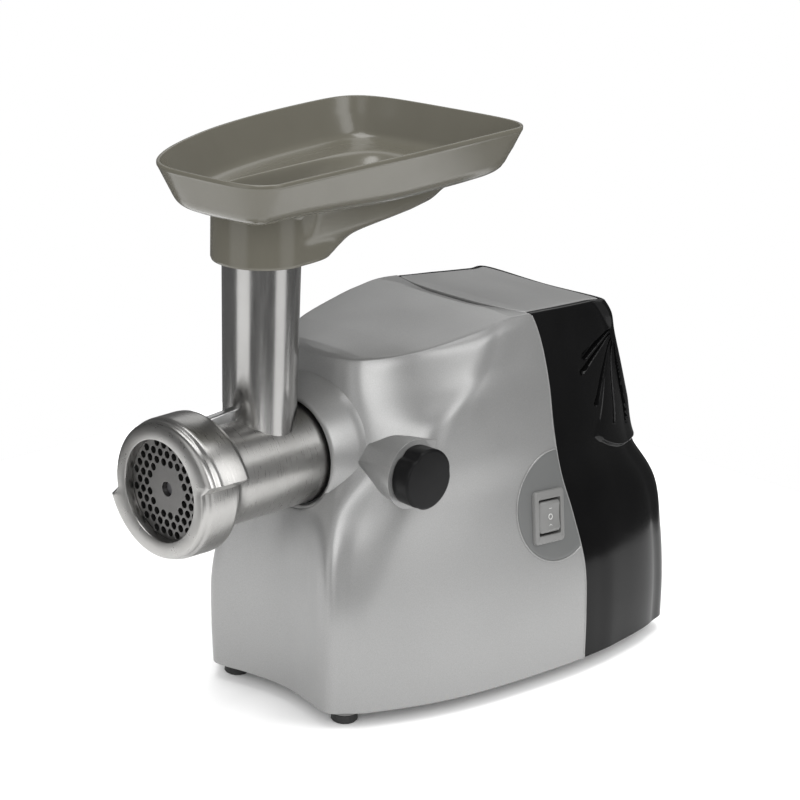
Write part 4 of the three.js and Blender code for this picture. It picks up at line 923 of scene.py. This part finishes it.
def tray_frame(points):
    """The tray is drawn round its throat, with z down from the rim, and turned a little on the tube."""
    c, s = math.cos(TRAY_TURN), math.sin(TRAY_TURN)
    points = np.asarray(points, float)
    x = points[..., 0] * c - points[..., 1] * s
    y = points[..., 0] * s + points[..., 1] * c + TUBE_Y
    return np.stack([x, y, points[..., 2] + TRAY_RIM], -1)


# Level lines of the trench in the floor, deepest first: reach to the rear, half width, height.
TRENCH = [(40, 23.6, -53), (51, 24.1, -48.5), (61, 25.1, -43), (87, 26.1, -36), (115, 28.1, -30),
          (132, 31.1, -23.4)]
TRAY_FLOOR = -23.4
THROAT_RADIUS, THROAT_BOTTOM, THROAT_WIDTH = 18.4, -57.0, 25.4
WALL_FOOT = 20.0
FLOOR_ROWS, FLOOR_SPREAD, SOFTENING = 96, 1.15, 9
# Wall of the tray from its foot inside, over the rim, to its foot outside: inset, height, rounding.
TRAY_WALL = [(WALL_FOOT, TRAY_FLOOR, 0), (12.2, -22.0, 6), (7.4, -13.0, 6), (2.0, -0.6, 0.4),
             (1.7, 0.0, 0.4), (0.45, 0.0, 0.3), (0.0, -0.4, 0.3), (0.0, -2.0, 0.5), (0.6, -2.8, 0.6),
             (6.0, -13.6, 7), (10.4, -22.4, 7), (WALL_FOOT, -26.2, 0)]
UNDERSIDE = -26.4
REAR_DEEPER = 0.16
NECK_RADIUS, NECK_BORE, NECK_LEDGE = 27.1, 21.9, -52.0
CHUTE_REACH, CHUTE_WIDTH = 144.0, 32.0
# Outline of the chute and neck from the neck's lower edge up: height, reach to the rear, half width.
CHUTE = np.array([(-58.2, 34.5, 26.6), (-57, 36.5, 27.1), (-52.5, 46.5, 27.1), (-48.6, 57, 27.2),
                  (-47, 72, 27.4), (-46, 94, 27.7), (-44.6, 124, 28.3), (-39.5, 140, 29.2),
                  (-31, 146, 30.6), (-27, 145, 31.6), (-24.4, 141, 32)])


def trench_level(plan):
    """Height of the tray floor: flat, with a trench that slopes down from the rear to the throat."""
    x, y = np.abs(plan[..., 0]), plan[..., 1]
    scales = []
    for reach, width, _ in TRENCH:
        behind = ((x / width) ** 4 + (np.maximum(y, 0) / reach) ** 4) ** 0.25
        narrow = THROAT_WIDTH + (width - THROAT_WIDTH) * smoothstep(-20, 0, y)
        ahead = np.hypot(x, y) / np.minimum(narrow, width)
        scales.append(np.where(y > 0, behind, ahead))
    level = np.full(x.shape, float(TRAY_FLOOR))
    for i in range(len(TRENCH) - 1, 0, -1):
        low, high = TRENCH[i - 1][2], TRENCH[i][2]
        part = (scales[i - 1] - 1) / np.maximum(scales[i - 1] - scales[i], 1e-6)
        level = np.where(scales[i] <= 1, low + (high - low) * np.clip(part, 0, 1), level)
    return level


def chute_spread(c, sn, reach, width, near):
    """Distance from the throat's middle to the chute's outline in each direction."""
    behind = ((np.abs(c) / width) ** 4 + (np.maximum(sn, 0) / reach) ** 4) ** -0.25
    return np.where(sn > 0, near + (behind - near) * smoothstep(0, 0.3, sn), near)


def tray_bowl():
    """Throat, floor, wall, rim and underside of the tray in one closed run of rows."""
    angle = np.arctan2(rim[:, 1], rim[:, 0])
    c, sn = np.cos(angle), np.sin(angle)
    throat = np.stack([c, sn], -1) * THROAT_RADIUS
    foot = inset(rim, WALL_FOOT)
    plans, level = [], []
    for share in np.linspace(0, 1, FLOOR_ROWS):
        plan = throat + (foot - throat) * share ** FLOOR_SPREAD
        # the floor comes level before it meets the foot of the wall
        depth = (trench_level(plan) - TRAY_FLOOR) * (1 - smoothstep(0.8, 1.0, share))
        plans.append(plan)
        level.append(TRAY_FLOOR + depth)
    level = np.array([np.full(len(rim), THROAT_BOTTOM)] + level)
    for _ in range(SOFTENING):
        level[2:-1] = blur(blur_round(level, 1)[1:])
    rows = [np.column_stack(pair) for pair in zip([throat] + plans, level)]
    profile = smooth_profile([row[:2] for row in TRAY_WALL], [row[2] for row in TRAY_WALL], 6)
    outside = int(np.argmin(profile[:, 0])) + 1
    for index, (amount, height) in enumerate(profile[1:], 1):
        plan = inset(rim, amount)
        deeper = 1 + REAR_DEEPER * smoothstep(-30, 70, plan[:, 1]) if index > outside else 1
        rows.append(np.column_stack([plan, np.full(len(plan), height) * deeper]))
    # the underside runs in to the outline of the chute, where the chute's own wall takes over
    reach = chute_spread(c, sn, CHUTE_REACH, CHUTE_WIDTH, NECK_RADIUS)
    reach = np.minimum(reach, np.hypot(foot[:, 0], foot[:, 1]) - 0.5) - 0.8
    rows.append(np.column_stack([reach * c, reach * sn, np.full(len(rim), UNDERSIDE)]))
    obj = grid_piece("feed_tray_bowl", tray_frame(rows), "tray_plastic", "tray", 60.0)
    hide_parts("feed_tray")


def tray_chute():
    """Neck over the feed tube and the chute that rises from it to the rear."""
    z = np.concatenate([np.linspace(-58.2, -57.2, 5), np.linspace(-56.8, -24.4, 90)])
    reach, width = (np.interp(z, CHUTE[:, 0], CHUTE[:, k]) for k in (1, 2))
    for _ in range(20):
        for line in (reach, width):
            line[6:-1] = blur(line[5:])
    count = 144
    turn = turns(count)
    # directions crowded toward the rear corners of the long chute
    angle = turn + 0.75 * np.sin(turn * 2) * (np.sin(turn) > 0)
    c, sn = np.cos(angle), np.sin(angle)
    rows = [np.column_stack([NECK_BORE * c, NECK_BORE * sn, np.full(count, height)])
            for height in (NECK_LEDGE, z[0])]
    for height, long, wide in zip(z, reach, width):
        spread = chute_spread(c, sn, long, wide, min(wide, NECK_RADIUS))
        rows.append(np.column_stack([spread * c, spread * sn, np.full(count, height)]))
    grid_piece("feed_tray_chute", tray_frame(rows), "tray_plastic", "tray", 50.0)


tray_bowl()
tray_chute()

# ---- knob and switch
KNOB_FACE, KNOB_RADIUS = 81.0, 17.0
KNOB_PROFILE = [(0.01, 46), (7.8, 46), (7.8, POD_FACE + 0.3), (KNOB_RADIUS - 0.3, POD_FACE + 0.3),
                (KNOB_RADIUS, KNOB_FACE), (0.01, KNOB_FACE)]
# Finger dents in the knob's rim: angle in degrees, depth.
KNOB_DENTS = [(125, 1.3), (245, 0.5), (5, 0.5)]
DENT_SPREAD = 9.0
# Bezel and rocker are drawn round the middle of the opening, with x out of the side.
BEZEL = [(-20, 0.2, 0.2, 0.1), (-20, 11.3, 14.1, 1), (-0.6, 11.3, 14.1, 1), (-0.6, 12.6, 15.3, 2.6),
         (1.2, 12.6, 15.3, 2.6), (2.0, 12.2, 14.9, 2.4), (2.4, 11.4, 14.1, 2.0), (2.4, 9.5, 10.8, 0.8),
         (2.1, 9.1, 10.4, 0.6), (-9, 9.1, 10.4, 0.6), (-9, 0.2, 0.2, 0.1)]
ROCKER_PROFILE = [(-5.5, -5.5), (-1, -9.1), (2.0, -9.0), (3.0, -7.6), (2.6, -4.5), (2.4, 0),
                  (2.6, 4.5), (3.0, 7.6), (2.0, 9.0), (-1, 9.1), (-5.5, 5.5)]
ROCKER_ROUNDS = [0, 0.5, 0.4, 0.6, 3, 3, 3, 0.6, 0.4, 0.5, 0]
# Slices of the rocker across its width: y, how far the slice is drawn in.
ROCKER_SLICES = [(-8.8, 1.6), (-8.5, 1.2), (-7.0, 0), (7.0, 0), (8.5, 1.2), (8.8, 1.6)]
MARK_X, MARK_SIDES = 2.5, 6


def knob_grips(radius, _, angle):
    """Three shallow finger dents in the rim of the knob."""
    depth = np.zeros_like(radius + angle)
    for middle, dent in KNOB_DENTS:
        turn = (np.degrees(angle) - middle + 180) % 360 - 180
        depth = depth - dent * np.exp(-(turn / DENT_SPREAD) ** 2)
    return np.where(radius > 14, depth, 0.0)


knob = turned("lock_knob_cap", KNOB_PROFILE, [0, 0.5, 0, 0.6, 1.7, 0], "black_plastic", "knob", 144, "x",
              (0, LOCK_Y, 0), wave=knob_grips)
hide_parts("lock_knob")


def in_switch_frame(points):
    """From the switch's own upright frame to the drive frame."""
    turn = np.array(SWITCH_TURN.to_3x3())
    return np.asarray(points, float) @ turn.T + np.array(SWITCH_CENTRE)


def rounded_rectangle(half_y, half_z, radius, steps=8):
    out = []
    for quarter, corner in enumerate(((1, 1), (-1, 1), (-1, -1), (1, -1))):
        turn = (quarter + np.arange(steps + 1) / steps) * math.pi / 2
        middle = np.array(corner) * (half_y - radius, half_z - radius)
        out.append(middle + radius * np.stack([np.cos(turn), np.sin(turn)], -1))
    return np.vstack(out)


def switch_bezel():
    """Bezel lofted through rounded rectangles: (x, half width, half height, corner radius)."""
    rows = [np.insert(rounded_rectangle(*sizes), 0, x, axis=1) for x, *sizes in BEZEL]
    obj = grid_piece("switch_bezel", in_switch_frame(rows), "light_plastic", "housing", 35.0)
    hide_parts("switch_body")


def rocker():
    """Dished rocker paddle with closed ends."""
    profile = smooth_profile(ROCKER_PROFILE, ROCKER_ROUNDS)
    count = len(profile)
    rows = []
    for y, shrink in ROCKER_SLICES:
        ring = profile * (1 - shrink / 16)
        rows.append(np.column_stack([ring[:, 0] - shrink * 0.4, np.full(count, y), ring[:, 1]]))
    faces = grid_faces(len(rows), count, False, True)
    faces.append(tuple(range(count)))
    faces.append(tuple(range((len(rows) - 1) * count, len(rows) * count)))
    points = in_switch_frame(np.vstack(rows))
    obj = make_object("rocker_paddle", points, faces, "light_plastic", "rocker", 40.0)
    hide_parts("switch_rocker")


def mark(name, outline, closed, z, radius):
    """Raised printed mark on the rocker, drawn as a thin rod along a line."""
    points = np.array([(MARK_X, y, z + h) for y, h in outline], float)
    rows = rod(points, np.array([1.0, 0, 0]), radius, MARK_SIDES, closed)
    grid_piece(name, in_switch_frame(rows), "mark_grey", "rocker", 60.0, True, closed)


switch_bezel()
rocker()
mark("rocker_mark_off", circle(1.5, 0, 0, 20), True, 0, 0.28)
mark("rocker_mark_on", [(-1.2, 0), (0, 0), (1.2, 0)], False, 4.8, 0.26)
mark("rocker_mark_reverse", [(-1.2, -0.4), (0, 0.5), (1.2, -0.4)], False, -4.8, 0.26)

# ---- carried CAD pieces
# Look of each CAD piece that is shown as it is, by the start of its name; the longest start counts.
CARRIED = {
    "rubber": ("foot_", "cord_gland"),
    "black_plastic": ("head_socket", "brush_holder"),
    "light_plastic": ("base_plate",),
    "steel": ("base_screw", "gearbox_screw", "lock_pin", "plate_key", "output_bearing",
              "intermediate_shaft", "motor_pinion", "motor_shaft", "front_motor_bearing",
              "rear_motor_bearing"),
    "cast_aluminium": ("front_motor_bracket", "rear_motor_bracket"),
    "plate_steel": ("knife",),
    "gear_nylon": ("output_gear", "intermediate_gear", "auger_washer"),
    "laminated_iron": ("motor_stator", "armature", "auger"),
    "enamelled_copper": ("field_coil", "commutator"),
    "carbon": ("carbon_brush",),
    "gearbox_plastic": ("gearbox_housing", "gearbox_cover", "cooling_fan"),
}
for node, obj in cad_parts.items():
    matches = [(len(start), look) for look, starts in CARRIED.items() for start in starts
               if node.startswith(start)]
    if matches:
        obj.data.materials.clear()
        obj.data.materials.append(MATERIALS[max(matches)[1]])
        soften(obj, 0.25, 2, 38)

# ---- camera, floor and light
AZIMUTH, ELEVATION, ROLL = math.radians(44.19), math.radians(18.09), math.radians(1.66)
LENS, SENSOR = 118.5417, 36.0
# Camera's place from the origin, in millimetres: back along the view, to the right, and up.
DISTANCE, SIDE, RISE = 1378.38, 126.24, 47.8
# Small, so that the metals mirror the room and not a white floor.
FLOOR_SIDE = 0.84
TARGET = Vector((0, 0, 0.15))
# Name: place in metres, width and height, power.
LIGHTS = {
    "top": ((0.0, 0.1, 2.0), (1.3, 1.3), 26),
    "front_panel": ((-0.15, -1.6, 0.15), (1.15, 2.2), 8),
    "camera_side": ((1.5, -1.5, 1.05), (1.25, 1.25), 20),
    "right_panel": ((1.6, 0.4, 0.15), (1.0, 2.2), 6.5),
    "right_high": ((1.5, 0.8, 1.45), (1.1, 1.1), 11),
    "rear": ((-1.1, 1.4, 1.35), (1.3, 1.0), 4),
}
ROOM, ROOM_IN_REFLECTIONS = 1.0, 0.14


def add_camera():
    """Camera turned to the azimuth and elevation, then rolled about its view."""
    view = np.array([-math.sin(AZIMUTH) * math.cos(ELEVATION), math.cos(AZIMUTH) * math.cos(ELEVATION),
                     -math.sin(ELEVATION)])
    level = np.array([math.cos(AZIMUTH), math.sin(AZIMUTH), 0.0])
    upright = np.cross(level, view)
    right = level * math.cos(ROLL) + upright * math.sin(ROLL)
    top = -level * math.sin(ROLL) + upright * math.cos(ROLL)
    eye = to_frame([-DISTANCE * view + SIDE * right + RISE * top])[0]
    data = bpy.data.cameras.new("camera")
    data.sensor_width = SENSOR
    data.lens = LENS
    data.clip_start = 0.01
    data.clip_end = 100.0
    camera = bpy.data.objects.new("camera", data)
    turn = Matrix((right, top, -view)).transposed().to_4x4()
    camera.matrix_world = Matrix.Translation(Vector(eye)) @ turn
    bpy.context.scene.collection.objects.link(camera)
    bpy.context.scene.camera = camera


def add_floor():
    s = Shader("floor_white")
    tone = s.mix_colour(s.noise(s.position(), 3.0), (0.93, 0.93, 0.93), (0.95, 0.95, 0.95))
    s.surface({"Base Color": tone, "Roughness": 0.75})
    half = FLOOR_SIDE / 2
    data = bpy.data.meshes.new("floor")
    corners = [(-half, -half, 0), (half, -half, 0), (half, half, 0), (-half, half, 0)]
    data.from_pydata(corners, [], [(0, 1, 2, 3)])
    data.materials.append(s.material)
    floor = bpy.data.objects.new("floor", data)
    bpy.context.scene.collection.objects.link(floor)


def add_light(name, place, size, power):
    """Soft panel aimed at the middle of the machine and not itself seen."""
    data = bpy.data.lights.new(name, "AREA")
    data.shape = "RECTANGLE"
    data.size, data.size_y = size
    data.energy = power
    light = bpy.data.objects.new(name, data)
    light.location = place
    light.rotation_euler = (TARGET - Vector(place)).to_track_quat("-Z", "Y").to_euler()
    light.visible_camera = False
    bpy.context.scene.collection.objects.link(light)


def add_room():
    """White room, much darker in reflections so that the metals keep their contrast."""
    world = bpy.data.worlds.new("studio")
    bpy.context.scene.world = world
    world.use_nodes = True
    tree = world.node_tree
    tree.nodes.clear()
    surface = tree.nodes.new("ShaderNodeOutputWorld")
    choose = tree.nodes.new("ShaderNodeMixShader")
    rays = tree.nodes.new("ShaderNodeLightPath")
    tree.links.new(rays.outputs["Is Glossy Ray"], choose.inputs[0])
    for index, strength in enumerate((ROOM, ROOM_IN_REFLECTIONS), 1):
        backdrop = tree.nodes.new("ShaderNodeBackground")
        backdrop.inputs["Color"].default_value = (1, 1, 1, 1)
        backdrop.inputs["Strength"].default_value = strength
        tree.links.new(backdrop.outputs[0], choose.inputs[index])
    tree.links.new(choose.outputs[0], surface.inputs["Surface"])
    bpy.context.scene.view_settings.view_transform = "Standard"


add_camera()
add_floor()
for name, lamp in LIGHTS.items():
    add_light(name, *lamp)
add_room()
